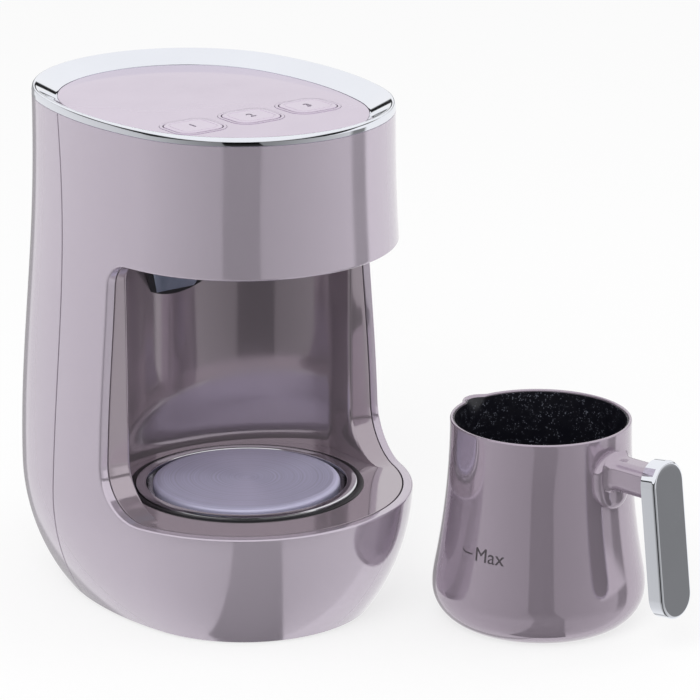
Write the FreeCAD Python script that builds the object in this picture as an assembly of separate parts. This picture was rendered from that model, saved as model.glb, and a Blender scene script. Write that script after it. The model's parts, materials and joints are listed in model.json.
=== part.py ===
import FreeCAD
import Part
import math
import os

# Electric Turkish coffee maker: an oval machine with a heating plate in an open bay and three
# buttons on top, and its separate coffee pot standing beside it.
# Millimetres, +Z up, front at -Y, origin on the table under the middle of the machine.

# Machine, plan and height
head_width = 146.0        # across X at the top
head_depth = 188.0        # along Y at the top
end_inset = 3.0           # how much smaller the ends' radius is than half the width
body_top = 242.0          # lip of the chrome ring
shell_foot = 1.0          # lower edge of the shell above the table
widest_height = 61.0      # height of the widest line
flare = 8.7               # how far the widest line stands out past the head
flare_hold = 1.3          # how soon the flare fades upwards
under_radius = 103.0      # arc in side view below the widest line
wall = 2.6                # moulded walls of the shell
fit_gap = 0.2             # between moulded pieces that sit in each other
seat_gap = 0.02           # between pieces that rest face to face

# Seam between front housing and rear cover, as seen from the side
seam_top_y = 19.5
seam_waist_y = 13.0
seam_waist_height = 140.0
seam_foot_y = 23.0
seam_gap = 0.5
lip_depth = 5.0           # tongue of the front housing inside the rear cover
lip_thickness = 1.3

# Bay
wing_face_y = -22.0       # flat front face of the two wings
deck_top = 58.0
bay_ceiling = 177.0
deck_fillet = 24.0        # wing face to deck, in side view
ceiling_fillet = 10.0     # wing face to head underside
wing_width = 10.5         # from the head's side to the bay's side wall
pocket_easing = 6.5       # concave back wall's radius beyond half the bay's width
pocket_back_y = 33.0
edge_width = 4.5          # the housing's edge around the bay, up to the liner's seam
edge_depth = 3.0
liner_wall = 2.5
rebate_width = 2.0        # liner's rib behind the housing's edge
rebate_thickness = 1.6

# Chrome ring and top panel
ring_height = 4.0         # outer side of the ring
ring_width = 11.8
ring_drop = 5.8           # slope from the lip down to the panel
ring_lip = 1.6
ring_round = 1.4
panel_gap = 0.2
panel_thickness = 2.8
ledge_width = 3.0         # ring's ledge below the panel
ledge_thickness = 2.2

# Buttons, one per coffee portion
button_count = 3
button_pitch = 32.0
button_y = -31.0
button_width = 24.0
button_depth = 22.0
button_corner = 7.0
button_proud = 0.5
button_gap = 0.3
button_height = 6.0
button_flange = 1.6       # collar that keeps the cap in the panel
button_flange_height = 1.6
button_travel = 1.0
bezel_width = 1.6
bezel_thickness = 1.4
stem_radius = 3.0

# Control board under the panel
board_thickness = 1.6
board_drop = 18.0         # panel's underside to the board's top
board_width = 96.0
board_depth = 44.0
post_radius = 3.2
post_inset = 5.0
screw_radius = 1.45
screw_bore = 1.5
screw_head_radius = 2.8
screw_head_height = 2.0
screw_grip = 8.0          # depth of a screw's bore in its post
screw_tip_gap = 1.0
slot_width = 0.8
slot_depth = 0.6
switch_size = 7.0
switch_height = 5.0
key_radius = 1.7
key_clearance = 0.08
switch_floor = 1.0        # under the key's well
key_float = 0.5           # left under the key when it is pressed
led_radius = 1.5
led_height = 3.0
buzzer_radius = 6.0
buzzer_height = 7.0
buzzer_hole = 1.0

# Heating plate and what holds it
plate_x = 0.0
plate_y = -25.0
plate_radius = 44.0
plate_top = 61.0
plate_thickness = 5.0
plate_round = 1.5
ring_gap = 2.8            # dark gap between plate and steel ring
steel_ring_width = 5.2
steel_ring_top = 59.6
steel_ring_thickness = 1.8
steel_skirt_depth = 12.0
steel_skirt_wall = 0.8
seal_width = 3.0
seal_height = 6.0
seal_proud = 0.6
element_radius = 29.0
element_tube = 3.4
element_gap_angle = 60.0
pin_radius = 2.0          # element's terminal pins
pin_length = 10.5
shield_thickness = 0.8
shield_drop = 9.0         # below the element
bracket_width = 16.0
bracket_thickness = 2.0
thermostat_radius = 8.0
thermostat_height = 6.5
tab_thickness = 0.8
tab_width = 6.0
tab_length = 3.5
tab_x = 5.0
fuse_radius = 2.2
fuse_length = 14.0
fuse_lead_length = 3.0
fuse_gap = 0.1

# Sensor at the top of the bay's back wall
sensor_bottom = 137.0
sensor_bottom_width = 26.0
sensor_top_width = 60.0
sensor_lean = 17.0        # how far the top stands out in front of the wall
sensor_frame = 2.2        # black border round the window
frame_back_inset = 3.3    # behind the window's seat
window_thickness = 1.8
sensor_rise = 13.0        # sensor's height above the wedge's lower edge
peep_size = 9.0           # opening in the liner for the sensor
sensor_board_size = 22.0
sensor_board_gap = 3.0
sensor_eye_radius = 3.0
sensor_post_x = 8.5
sensor_post_radius = 1.5

# Base
base_height = 3.0         # underside of the base plate
base_thickness = 3.0
foot_ring_inset = 12.0
foot_ring_width = 8.0
groove_depth = 1.0        # how deep the foot ring sits in the base plate
boss_radius = 4.2
boss_height = 18.0
boss_inset = 16.6         # bosses inside the head's outline
boss_turn = 56.46         # degrees from straight back or front to a boss, about the end's centre
rib_width = 3.0

# Power board and mains entry in the back
power_inset = 20.0        # power board inside the head's back end
power_width = 74.0
power_low = 84.0
power_high = 160.0
power_post_x = 30.0
relay_size = (19.0, 16.0, 16.0)
relay_x = 10.5
relay_rise = 16.0         # its middle above the board's lower edge
transformer_size = (32.0, 26.0, 28.0)
coil_size = (19.2, 26.0, 33.0)
core_slot_size = (19.8, 28.0, 5.0)
core_slot_offset = 11.2
transformer_drop = 25.2   # its middle below the board's upper edge
capsule_radius = 3.0
capsule_length = 16.0
capsule_x = -18.0
capsule_rise = 8.0
capsule_gap = 1.0
clip_width = 3.0
clip_inset = 1.0
terminal_size = (30.0, 14.0, 12.0)
terminal_inset = 32.0     # terminal block inside the head's back end
terminal_bore = 2.0
terminal_bore_depth = 4.0
gland_height = 24.0
gland_radius = 6.0
gland_flange_radius = 9.5
gland_flange_thickness = 2.0
gland_bore = 3.4
gland_inside = 14.0
gland_outside = 6.0
lead_radius = 1.3
lead_drop = 12.0          # leads' run below the bracket
lead_standoff = 8.0       # leads' rise in front of the power board
ribbon_width = 14.0
ribbon_thickness = 1.0
ribbon_lap = 8.0          # under the control board
ribbon_standoff = 6.0     # in front of the power board and below its upper edge

# Pot
pot_x = 98.0
pot_y = -122.0
pot_height = 97.0
pot_rim_radius = 42.0
pot_belly_radius = 49.8
pot_belly_height = 16.0
pot_base_radius = 39.0
pot_neck_share = 0.90     # share of the wall, from the rim down, that curves inwards
pot_wall = 1.6
pot_floor = 3.0
lining = 0.5              # dark non-stick coat inside
lining_drop = 1.0         # coat's edge below the rim
spout_radius = 9.5
spout_depth = 15.0
spout_reach = 3.5
spout_tip_radius = 0.2
handle_azimuth = -80.0    # direction of the handle in plan, from +X

# Handle of the pot
arm_width = 15.0
arm_height = 14.5
arm_top = 88.0
arm_round = 4.5
arm_root = 1.0            # arm's start inside the rim's radius
flange_width = 23.0
flange_height = 27.0
flange_top = 90.0
flange_thickness = 4.0
grip_offset = 68.0        # pot axis to the grip's inner face, at the arm
grip_width = 21.5
grip_length = 74.0
grip_top = 92.0
grip_depth = 8.0
grip_lean = 6.8           # degrees, foot outwards
grip_round = 1.8
core_depth = 2.2
core_gap = 0.2            # core below the grip's inner edge
socket_gap = 0.5          # round the arm's end in the core
bolt_radius = 2.4
bolt_length = 24.0
bolt_head_radius = 4.0
bolt_head_height = 2.0
bolt_clearance = 0.05
bolt_recess = 1.0         # behind the bolt's head
bolt_seat = 0.4           # head's underside above the core

# Derived values shared by several pieces
half_width = head_width / 2
half_depth = head_depth / 2
end_radius = half_width - end_inset
end_offset = half_depth - end_radius
side_radius = (half_width ** 2 + end_offset ** 2 - end_radius ** 2) / (2 * (half_width - end_radius))
side_offset = side_radius - half_width
far = 2 * head_depth      # past every face of the machine
pocket_half = half_width - wing_width
pocket_radius = pocket_half + pocket_easing
boss_reach = end_radius - boss_inset
boss_x = boss_reach * math.sin(math.radians(boss_turn))
boss_back_y = end_offset + boss_reach * math.cos(math.radians(boss_turn))
boss_front_y = -boss_back_y
power_y = half_depth - power_inset
terminal_y = half_depth - terminal_inset

ring_foot = body_top - ring_height
panel_top = body_top - ring_drop - panel_gap
panel_foot = panel_top - panel_thickness
ledge_foot = panel_foot - seat_gap - ledge_thickness
board_top = panel_foot - board_drop
board_foot = board_top - board_thickness
cap_top = panel_top + button_proud
cap_foot = cap_top - button_height
switch_top = board_top + switch_height
inner_gap = wall + fit_gap
liner_edge = edge_width + fit_gap
pocket_centre_y = pocket_back_y - pocket_radius
base_top = base_height + base_thickness
shell_range = (shell_foot, ring_foot - seat_gap)

plate_foot = plate_top - plate_thickness
steel_inner = plate_radius + ring_gap
steel_outer = steel_inner + steel_ring_width
seal_outer = steel_outer + seal_width
deck_foot = deck_top - liner_wall
element_z = plate_foot - element_tube - fit_gap / 2
shield_z = element_z - element_tube - shield_drop
terminal_z = element_z - pin_length
shield_radius = steel_inner - fit_gap
bracket_z = shield_z - bracket_thickness - seat_gap
bracket_post_x = seal_outer + 4.0
sensor_z = sensor_bottom + sensor_rise
sensor_board_y = pocket_back_y + liner_wall + sensor_board_gap
button_xs = [(i - (button_count - 1) / 2) * button_pitch for i in range(button_count)]

UP = FreeCAD.Vector(0, 0, 1)
BACK = FreeCAD.Vector(0, 1, 0)
RIGHT = FreeCAD.Vector(1, 0, 0)


def vec(x, y, z):
    return FreeCAD.Vector(x, y, z)


# Helpers for plain solids

def box(x, y, z):
    """Box between two limits along each axis."""
    return Part.makeBox(x[1] - x[0], y[1] - y[0], z[1] - z[0], vec(x[0], y[0], z[0]))


def rod(radius, start, length, axis=UP):
    return Part.makeCylinder(radius, length, start, axis)


def tube(outer, inner, start, length, axis=UP):
    return rod(outer, start, length, axis).cut(rod(inner, start, length, axis))


def slab(low, high):
    return box((-far, far), (-far, far), (low, high))


def joined(shapes):
    """One clean solid from pieces that overlap."""
    whole = shapes[0]
    for shape in shapes[1:]:
        whole = whole.fuse(shape)
    return whole.removeSplitter()


def group(shapes):
    """Separate solids that share one node."""
    return Part.makeCompound(shapes)


def rounded_block(width, depth, corner, low, high, x=0.0, y=0.0):
    """Upright block with rounded vertical edges, centred on x, y."""
    block = box((x - width / 2, x + width / 2), (y - depth / 2, y + depth / 2), (low, high))
    upright = [e for e in block.Edges if abs(e.tangentAt(e.FirstParameter).z) > 0.9]
    return block.makeFillet(corner, upright)


def edges_at(shape, low, high):
    """Edges whose whole length lies between two heights."""
    return [e for e in shape.Edges if e.BoundBox.ZMin >= low and e.BoundBox.ZMax <= high]


def routed_tube(radius, points, bend):
    """Round lead along straight runs joined by tangent arcs."""
    edges = []
    start = points[0]
    for before, corner, after in zip(points, points[1:], points[2:]):
        u = (before - corner).normalize()
        v = (after - corner).normalize()
        half = u.getAngle(v) / 2
        reach = bend / math.tan(half)
        middle_line = (u + v).normalize()
        a = corner + u * reach
        b = corner + v * reach
        m = corner + middle_line * (bend / math.sin(half) - bend)
        edges.append(Part.LineSegment(start, a).toShape())
        edges.append(Part.Arc(a, m, b).toShape())
        start = b
    edges.append(Part.LineSegment(start, points[-1]).toShape())
    section = Part.Wire(Part.Circle(points[0], points[1] - points[0], radius).toShape())
    return Part.Wire(edges).makePipeShell([section], True, True)


# The oval form that every shell piece follows

def growth(z):
    """How far the body's outline at height z lies outside the head's outline."""
    if z >= widest_height:
        share = (z - widest_height) / (body_top - widest_height)
        return flare * max(0.0, (1 + math.cos(math.pi * share)) / 2) ** flare_hold
    drop = widest_height - z
    return flare - (under_radius - math.sqrt(under_radius ** 2 - drop ** 2))


def oval(outset, z):
    """Closed outline of four tangent arcs, the head's oval moved outwards by outset."""
    reach = math.hypot(side_offset, end_offset)
    dx = (end_radius + outset) * side_offset / reach
    dy = end_offset + (end_radius + outset) * end_offset / reach
    ends = [vec(dx, -dy, z), vec(dx, dy, z), vec(-dx, dy, z), vec(-dx, -dy, z)]
    tops = [
        vec(half_width + outset, 0, z),
        vec(0, half_depth + outset, z),
        vec(-half_width - outset, 0, z),
        vec(0, -half_depth - outset, z),
    ]
    arcs = [Part.Arc(ends[i], tops[i], ends[(i + 1) % 4]).toShape() for i in range(4)]
    return Part.Wire(arcs)


def oval_plate(outset, low, high):
    """Straight-sided oval block."""
    return Part.Face(oval(outset, low)).extrude(vec(0, 0, high - low))


form_steps = 16
forms = {}


def form(inset, low=shell_foot, high=body_top):
    """The body's form moved inwards by inset, between two heights."""
    if inset not in forms:
        heights = [shell_foot + (body_top - shell_foot) * i / form_steps for i in range(form_steps + 1)]
        outlines = [oval(growth(z) - inset, z) for z in heights]
        forms[inset] = Part.makeLoft(outlines, True, False)
    whole = forms[inset]
    if low <= shell_foot and high >= body_top:
        return whole
    return whole.common(slab(low, high))


def behind_seam(shift):
    """Everything behind the curved seam, moved back by shift."""
    top = vec(0, seam_top_y + shift, body_top)
    waist = vec(0, seam_waist_y + shift, seam_waist_height)
    foot = vec(0, seam_foot_y + shift, shell_foot)
    curve = Part.Arc(foot, waist, top).toShape()
    corners = [
        top,
        vec(0, seam_top_y + shift, body_top + wall),
        vec(0, far, body_top + wall),
        vec(0, far, shell_foot - wall),
        vec(0, seam_foot_y + shift, shell_foot - wall),
        foot,
    ]
    sides = [Part.LineSegment(a, b).toShape() for a, b in zip(corners, corners[1:])]
    face = Part.Face(Part.Wire([curve] + sides))
    return face.extrude(vec(2 * far, 0, 0)).translated(vec(-far, 0, 0))


def bay_cut(grow):
    """The bay as seen from the side: open to the front, rounded into deck and head."""
    block = box((-far, far), (-far, wing_face_y + grow), (deck_top - grow, bay_ceiling + grow))
    low = [e for e in edges_at(block, -far, deck_top) if e.BoundBox.YMin > wing_face_y - 1]
    block = block.makeFillet(deck_fillet + grow, low)
    high = [e for e in edges_at(block, bay_ceiling, far) if e.BoundBox.YMin > wing_face_y - 1
            and e.BoundBox.XLength > far]
    return block.makeFillet(ceiling_fillet + grow, high)


def pocket(grow):
    """The bay in plan: straight side walls and a concave back wall."""
    x = pocket_half + grow
    radius = pocket_radius + grow
    y = pocket_centre_y + math.sqrt(radius ** 2 - x ** 2)
    low = deck_top - grow
    back = Part.Arc(vec(x, y, low), vec(0, pocket_centre_y + radius, low), vec(-x, y, low)).toShape()
    corners = [vec(-x, y, low), vec(-x, -far, low), vec(x, -far, low), vec(x, y, low)]
    sides = [Part.LineSegment(a, b).toShape() for a, b in zip(corners, corners[1:])]
    face = Part.Face(Part.Wire([back] + sides))
    return face.extrude(vec(0, 0, bay_ceiling + grow - low))


def shell_band(outer, inner, low, high):
    return form(outer, low, high).cut(form(inner, low, high))


# Bosses for the base screws, shared by the shell pieces

def base_bosses(y):
    """A pair of screw bosses, each tied to the shell by a rib."""
    pieces = []
    toward = -1 if y < 0 else 1
    for side in (-1, 1):
        x = side * boss_x
        boss = rod(boss_radius, vec(x, y, base_top), boss_height)
        rib_x = sorted((x, side * far))
        rib = box(rib_x, (y - rib_width / 2, y + rib_width / 2), (base_top, base_top + boss_height))
        rib_y = sorted((y, toward * far))
        web = box((x - rib_width / 2, x + rib_width / 2), rib_y, (base_top, base_top + boss_height))
        bore = rod(screw_bore, vec(x, y, base_top), boss_height - wall)
        pieces.append(joined([boss, rib, web]).cut(bore))
    return pieces


def front_housing():
    shell = shell_band(0, wall, *shell_range)
    edge = bay_cut(edge_depth).common(shell_band(0, edge_width, *shell_range))
    bosses = [b.common(form(wall / 2, base_top, ring_foot)) for b in base_bosses(boss_front_y)]
    body = joined([shell, edge] + bosses).cut(behind_seam(0)).cut(bay_cut(0))
    seat = shell_band(wall / 2, wall + lip_thickness, base_top + wall, ledge_foot - wall)
    tongue = shell_band(inner_gap, wall + lip_thickness, base_top + wall, ledge_foot - wall)
    seat = seat.cut(behind_seam(0)).common(behind_seam(-lip_depth))
    tongue = tongue.common(behind_seam(-fit_gap)).cut(behind_seam(lip_depth))
    return joined([body, seat, tongue])


def rear_cover():
    shell = shell_band(0, wall, *shell_range)
    bosses = [b.common(form(wall / 2, base_top, ring_foot)) for b in base_bosses(boss_back_y)]
    posts = []
    for x, z in power_posts():
        post = rod(post_radius, vec(x, power_y + board_thickness, z), far, BACK)
        bore = rod(screw_bore, vec(x, power_y + board_thickness, z), screw_length(), BACK)
        posts.append(post.common(form(wall / 2)).cut(bore))
    body = joined([shell] + bosses + posts).common(behind_seam(seam_gap))
    hole = rod(gland_radius + fit_gap, vec(0, 0, gland_height), far, BACK)
    return body.cut(hole)


def screw_length():
    return screw_grip + board_thickness


# Bay liner and the sensor in it

def sensor_wedge(inset):
    """Solid wedge on the back wall under the ceiling; its front leans out over the pot."""
    rise = bay_ceiling - sensor_bottom
    low_half = sensor_bottom_width / 2 - inset
    high_half = sensor_top_width / 2 - inset
    low_z = sensor_bottom + inset
    front_low = pocket_back_y - sensor_lean * inset / rise
    front_high = pocket_back_y - sensor_lean
    deep = pocket_back_y + liner_wall
    low_wire = Part.makePolygon([
        vec(-low_half, front_low, low_z), vec(low_half, front_low, low_z),
        vec(low_half, deep, low_z), vec(-low_half, deep, low_z), vec(-low_half, front_low, low_z)])
    high_wire = Part.makePolygon([
        vec(-high_half, front_high, bay_ceiling), vec(high_half, front_high, bay_ceiling),
        vec(high_half, deep, bay_ceiling), vec(-high_half, deep, bay_ceiling),
        vec(-high_half, front_high, bay_ceiling)])
    return Part.makeLoft([low_wire, high_wire], True, True)


def lean_shift(depth):
    """Shift that moves the wedge's leaning face back into it by depth."""
    rise = bay_ceiling - sensor_bottom
    return vec(0, depth * math.hypot(rise, sensor_lean) / rise, 0)


def sensor_frame_piece():
    frame = sensor_wedge(0).cut(pocket_outside())
    opening = sensor_wedge(sensor_frame).translated(vec(0, -liner_wall, 0))
    behind = sensor_wedge(frame_back_inset).translated(lean_shift(window_thickness + fit_gap))
    seat = opening.cut(sensor_wedge(0).translated(lean_shift(window_thickness)))
    return frame.cut(seat).cut(behind)


def sensor_window():
    blank = sensor_wedge(sensor_frame + fit_gap).translated(vec(0, -liner_wall, 0))
    face = blank.common(sensor_wedge(0)).cut(pocket_outside())
    return face.cut(sensor_wedge(0).translated(lean_shift(window_thickness)))


def pocket_outside():
    """Everything behind the pocket's back wall surface."""
    return slab(-far, far).cut(pocket(0).fuse(box((-far, far), (-far, wing_face_y), (-far, far))))


def liner_rebate():
    """Rib and flange that seat the liner behind the housing's edge."""
    front = bay_cut(edge_depth + seat_gap)
    back = bay_cut(edge_depth + seat_gap + rebate_thickness)
    rib = back.common(shell_band(liner_edge, liner_edge + rebate_width, *shell_range))
    flange = back.cut(front).common(shell_band(inner_gap, liner_edge + rebate_width, *shell_range))
    return joined([rib, flange])


def bay_liner():
    solid = bay_cut(liner_wall).fuse(pocket(liner_wall)).common(form(liner_edge))
    solid = joined([solid, liner_rebate()]).cut(bay_cut(0)).cut(pocket(0))
    hole = rod(seal_outer + fit_gap / 2, vec(plate_x, plate_y, shell_foot), body_top / 2)
    posts = []
    for side in (-1, 1):
        start = vec(side * bracket_post_x, plate_y, bracket_z + bracket_thickness)
        post = rod(post_radius, start, deck_foot + liner_wall / 2 - start.z)
        posts.append(post.cut(rod(screw_bore, start, deck_foot - start.z)))
    peep = box((-peep_size / 2, peep_size / 2), (pocket_back_y - wall, pocket_back_y + 2 * liner_wall),
               (sensor_z - peep_size / 2, sensor_z + peep_size / 2))
    for side in (-1, 1):
        start = vec(side * sensor_post_x, pocket_back_y + liner_wall / 2, sensor_z)
        posts.append(rod(sensor_post_radius, start, sensor_board_y - seat_gap - start.y, BACK))
    return joined([solid.cut(hole).cut(peep)] + posts)


# Top

def top_ring():
    outside = oval_plate(0, ring_foot, body_top)
    rim = [e for e in edges_at(outside, body_top - 0.01, body_top + 0.01)]
    outside = outside.makeFillet(ring_round, rim)
    skirt = oval_plate(-inner_gap, ledge_foot, ring_foot + wall / 2)
    funnel = Part.makeLoft([oval(-ring_lip, body_top + 0.001),
                            oval(-ring_width, body_top - ring_drop)], True, True)
    hole = oval_plate(-ring_width, panel_foot - seat_gap, body_top - ring_drop + 0.01)
    opening = oval_plate(-ring_width - ledge_width, ledge_foot - wall, body_top)
    return joined([outside, skirt]).cut(funnel).cut(hole).cut(opening)


def cap_hole(extra, low, high, x):
    return rounded_block(button_width + 2 * extra, button_depth + 2 * extra,
                         button_corner + extra, low, high, x, button_y)


def board_posts():
    x = board_width / 2 - post_inset
    y = board_depth / 2 - post_inset
    return [(sx * x, button_y + sy * y) for sx in (-1, 1) for sy in (-1, 1)]


def top_panel():
    panel = oval_plate(-ring_width - panel_gap, panel_foot, panel_top)
    for x in button_xs:
        panel = panel.cut(cap_hole(button_gap, panel_foot - wall, panel_top + wall, x))
        recess = cap_hole(button_gap + bezel_width + fit_gap / 2, panel_top - bezel_thickness,
                          panel_top + wall, x)
        panel = panel.cut(recess)
    posts = []
    for x, y in board_posts():
        post = rod(post_radius, vec(x, y, board_top), panel_foot + panel_thickness / 2 - board_top)
        posts.append(post.cut(rod(screw_bore, vec(x, y, board_top), screw_length())))
    return joined([panel] + posts)


def button_bezel(x):
    low = panel_top - bezel_thickness + seat_gap
    high = panel_top + button_proud / 2
    outer = cap_hole(button_gap + bezel_width, low, high, x)
    return outer.cut(cap_hole(button_gap, low - wall, high + wall, x))


def button_cap(x):
    cap = rounded_block(button_width, button_depth, button_corner, cap_foot, cap_top, x, button_y)
    crown = edges_at(cap, cap_top - 0.01, cap_top + 0.01)
    cap = cap.makeFillet(button_proud, crown)
    collar = cap_hole(button_flange, cap_foot, cap_foot + button_flange_height, x)
    stem_foot = switch_top + button_travel
    stem = rod(stem_radius, vec(x, button_y, stem_foot), cap_foot + wall / 2 - stem_foot)
    return joined([cap, collar, stem])


def tact_switch(x):
    low = board_top
    size = switch_size / 2
    body = box((x - size, x + size), (button_y - size, button_y + size), (low, switch_top))
    well = rod(key_radius + key_clearance, vec(x, button_y, low + switch_floor), switch_height)
    return body.cut(well)


def switch_key(x):
    low = board_top + switch_floor + button_travel + key_float
    return rod(key_radius, vec(x, button_y, low), switch_top + button_travel - low)


def control_board():
    board = box((-board_width / 2, board_width / 2),
                (button_y - board_depth / 2, button_y + board_depth / 2), (board_foot, board_top))
    for x, y in board_posts():
        board = board.cut(rod(screw_bore + fit_gap, vec(x, y, board_foot - wall), 3 * wall))
    return board


def button_lights():
    lights = []
    for x in button_xs:
        start = vec(x + switch_size, button_y, board_top)
        lights.append(rod(led_radius, start, led_height).fuse(
            Part.makeSphere(led_radius, start + UP * led_height)).removeSplitter())
    return group(lights)


def buzzer():
    spot = vec(button_pitch / 2, button_y - board_depth / 4, board_foot - buzzer_height)
    return tube(buzzer_radius, buzzer_hole, spot, buzzer_height / 3).fuse(
        rod(buzzer_radius, spot + UP * (buzzer_height / 3), buzzer_height * 2 / 3)).removeSplitter()


def screw(radius, head_radius, head_height, start, length, axis):
    """Pan-head screw whose head ends at start and whose shank runs along axis."""
    head = rod(head_radius, start - axis * head_height, head_height, axis)
    shank = rod(radius, start, length, axis)
    slot = box((-head_radius, head_radius), (-slot_width / 2, slot_width / 2), (-slot_depth, slot_depth))
    slot.Placement = FreeCAD.Placement(start - axis * head_height, FreeCAD.Rotation(UP, axis))
    return head.fuse(shank).removeSplitter().cut(slot)


def board_screws():
    return group([
        screw(screw_radius, screw_head_radius, screw_head_height, vec(x, y, board_foot - seat_gap),
              screw_length() - screw_tip_gap, UP) for x, y in board_posts()])


# Heating plate group

def heating_plate():
    disc = rod(plate_radius, vec(plate_x, plate_y, plate_foot), plate_thickness)
    top = edges_at(disc, plate_top - 0.01, plate_top + 0.01)
    return disc.makeFillet(plate_round, top)


def plate_ring():
    low = steel_ring_top - steel_ring_thickness
    start = vec(plate_x, plate_y, low)
    cap = tube(steel_outer, steel_inner, start, steel_ring_thickness)
    crown = edges_at(cap, steel_ring_top - 0.01, steel_ring_top + 0.01)
    cap = cap.makeFillet(steel_ring_thickness / 2, crown)
    skirt = tube(steel_inner + steel_skirt_wall, steel_inner,
                 vec(plate_x, plate_y, low - steel_skirt_depth), steel_skirt_depth + 0.2)
    floor = tube(steel_inner + steel_skirt_wall, element_radius + 2 * element_tube + thermostat_radius / 2,
                 vec(plate_x, plate_y, low - steel_skirt_depth), steel_skirt_wall)
    return joined([cap, skirt, floor])


def plate_seal():
    start = vec(plate_x, plate_y, deck_top + seal_proud - seal_height)
    inner = steel_outer + seat_gap
    return tube(seal_outer, inner, start, seal_height)


def heating_element():
    """Open ring of sheathed tube under the plate, with its two ends turned down."""
    sweep = 360 - element_gap_angle
    start_angle = 90 + element_gap_angle / 2
    ring = Part.makeTorus(element_radius, element_tube, vec(0, 0, 0), UP, -180, 180, sweep)
    ring.rotate(vec(0, 0, 0), UP, start_angle)
    ring.translate(vec(plate_x, plate_y, element_z))
    ends = []
    for side in (-1, 1):
        angle = math.radians(90 + side * element_gap_angle / 2)
        x = plate_x + element_radius * math.cos(angle)
        y = plate_y + element_radius * math.sin(angle)
        ends.append(Part.makeSphere(element_tube, vec(x, y, element_z)))
        ends.append(rod(pin_radius, vec(x, y, terminal_z), element_z - terminal_z))
    return joined([ring] + ends)


def heat_shield():
    start = vec(plate_x, plate_y, shield_z)
    pan = rod(shield_radius, start, shield_thickness)
    edge = tube(shield_radius, shield_radius - shield_thickness, start, shield_drop / 2)
    window = box((plate_x - element_radius, plate_x + element_radius),
                 (plate_y + element_radius / 2, plate_y + element_radius + 2 * element_tube),
                 (shield_z - wall, shield_z + wall))
    shield = joined([pan, edge]).cut(window)
    for x in pillar_xs():
        shield = shield.cut(rod(bolt_radius + fit_gap, vec(x, plate_y, shield_z - wall), 2 * wall))
    return shield


def pillar_xs():
    """Where the bracket's two pillars stand, each side of the thermostat."""
    reach = element_radius / 2 + thermostat_radius / 2
    return [plate_x - reach, plate_x + reach]


def plate_bracket():
    reach = bracket_post_x + bracket_width / 2
    bar = box((plate_x - reach, plate_x + reach),
              (plate_y - bracket_width / 2, plate_y + bracket_width / 2),
              (bracket_z, bracket_z + bracket_thickness))
    for side in (-1, 1):
        start = vec(side * bracket_post_x, plate_y, bracket_z - wall)
        bar = bar.cut(rod(screw_bore + fit_gap, start, 3 * wall))
    low = bracket_z + bracket_thickness / 2
    pillars = [rod(bolt_radius, vec(x, plate_y, low), plate_foot - low - seat_gap) for x in pillar_xs()]
    return joined([bar] + pillars)


def bracket_screws():
    return group([
        screw(screw_radius, screw_head_radius, screw_head_height,
              vec(side * bracket_post_x, plate_y, bracket_z - seat_gap), screw_length() - screw_tip_gap, UP)
        for side in (-1, 1)])


def thermostat():
    start = vec(plate_x, plate_y, plate_foot - thermostat_height - seat_gap)
    body = rod(thermostat_radius, start, thermostat_height)
    tabs = [box((x - tab_thickness / 2, x + tab_thickness / 2), (plate_y - tab_width / 2, plate_y + tab_width / 2),
                (start.z - tab_length, start.z + tab_thickness))
            for x in (plate_x - tab_x, plate_x + tab_x)]
    return joined([body] + tabs)


def thermal_fuse():
    centre = vec(plate_x - fuse_length / 2, plate_y - element_radius / 2 - fuse_radius,
                 plate_foot - fuse_radius - fuse_gap)
    body = rod(fuse_radius, centre, fuse_length, RIGHT)
    leads = rod(fuse_radius / 4, centre - RIGHT * fuse_lead_length, fuse_length + 2 * fuse_lead_length, RIGHT)
    return joined([body, leads])


# Base

def base_plate():
    plate = form(inner_gap, base_height, base_top)
    for y in (boss_front_y, boss_back_y):
        for side in (-1, 1):
            plate = plate.cut(rod(screw_bore + fit_gap, vec(side * boss_x, y, shell_foot), far / 4))
    groove = foot_ring_solid(base_height - wall, base_height + groove_depth, fit_gap / 2)
    return plate.cut(groove)


def foot_ring_solid(low, high, extra):
    outset = growth(base_height) - foot_ring_inset
    outer = oval_plate(outset + extra, low, high)
    return outer.cut(oval_plate(outset - foot_ring_width - extra, low, high))


def foot_ring():
    return foot_ring_solid(0.0, base_height + groove_depth - seat_gap, 0.0)


def base_screws():
    return group([
        screw(screw_radius, screw_head_radius, screw_head_height, vec(side * boss_x, y, base_height - seat_gap),
              boss_height / 2, UP)
        for y in (boss_front_y, boss_back_y) for side in (-1, 1)])


# Back of the machine

def power_posts():
    inset = post_inset + screw_head_radius
    return [(sx * power_post_x, z) for sx in (-1, 1) for z in (power_low + inset, power_high - inset)]


def power_board():
    board = box((-power_width / 2, power_width / 2), (power_y, power_y + board_thickness),
                (power_low, power_high))
    for x, z in power_posts():
        board = board.cut(rod(screw_bore + fit_gap, vec(x, power_y - wall, z), 3 * wall, BACK))
    return board


def power_screws():
    return group([
        screw(screw_radius, screw_head_radius, screw_head_height, vec(x, power_y - seat_gap, z),
              screw_length() - screw_tip_gap, BACK) for x, z in power_posts()])


def on_power_board(size, x, z):
    """Block standing on the front of the power board, centred on x, z."""
    return box((x - size[0] / 2, x + size[0] / 2), (power_y - size[1], power_y),
               (z - size[2] / 2, z + size[2] / 2))


def relay():
    return on_power_board(relay_size, relay_x, power_low + relay_rise)


def transformer():
    z = power_high - transformer_drop
    core = on_power_board(transformer_size, 0, z)
    for offset in (-core_slot_offset, core_slot_offset):
        core = core.cut(on_power_board(core_slot_size, 0, z + offset))
    return joined([core, on_power_board(coil_size, 0, z)])


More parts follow.
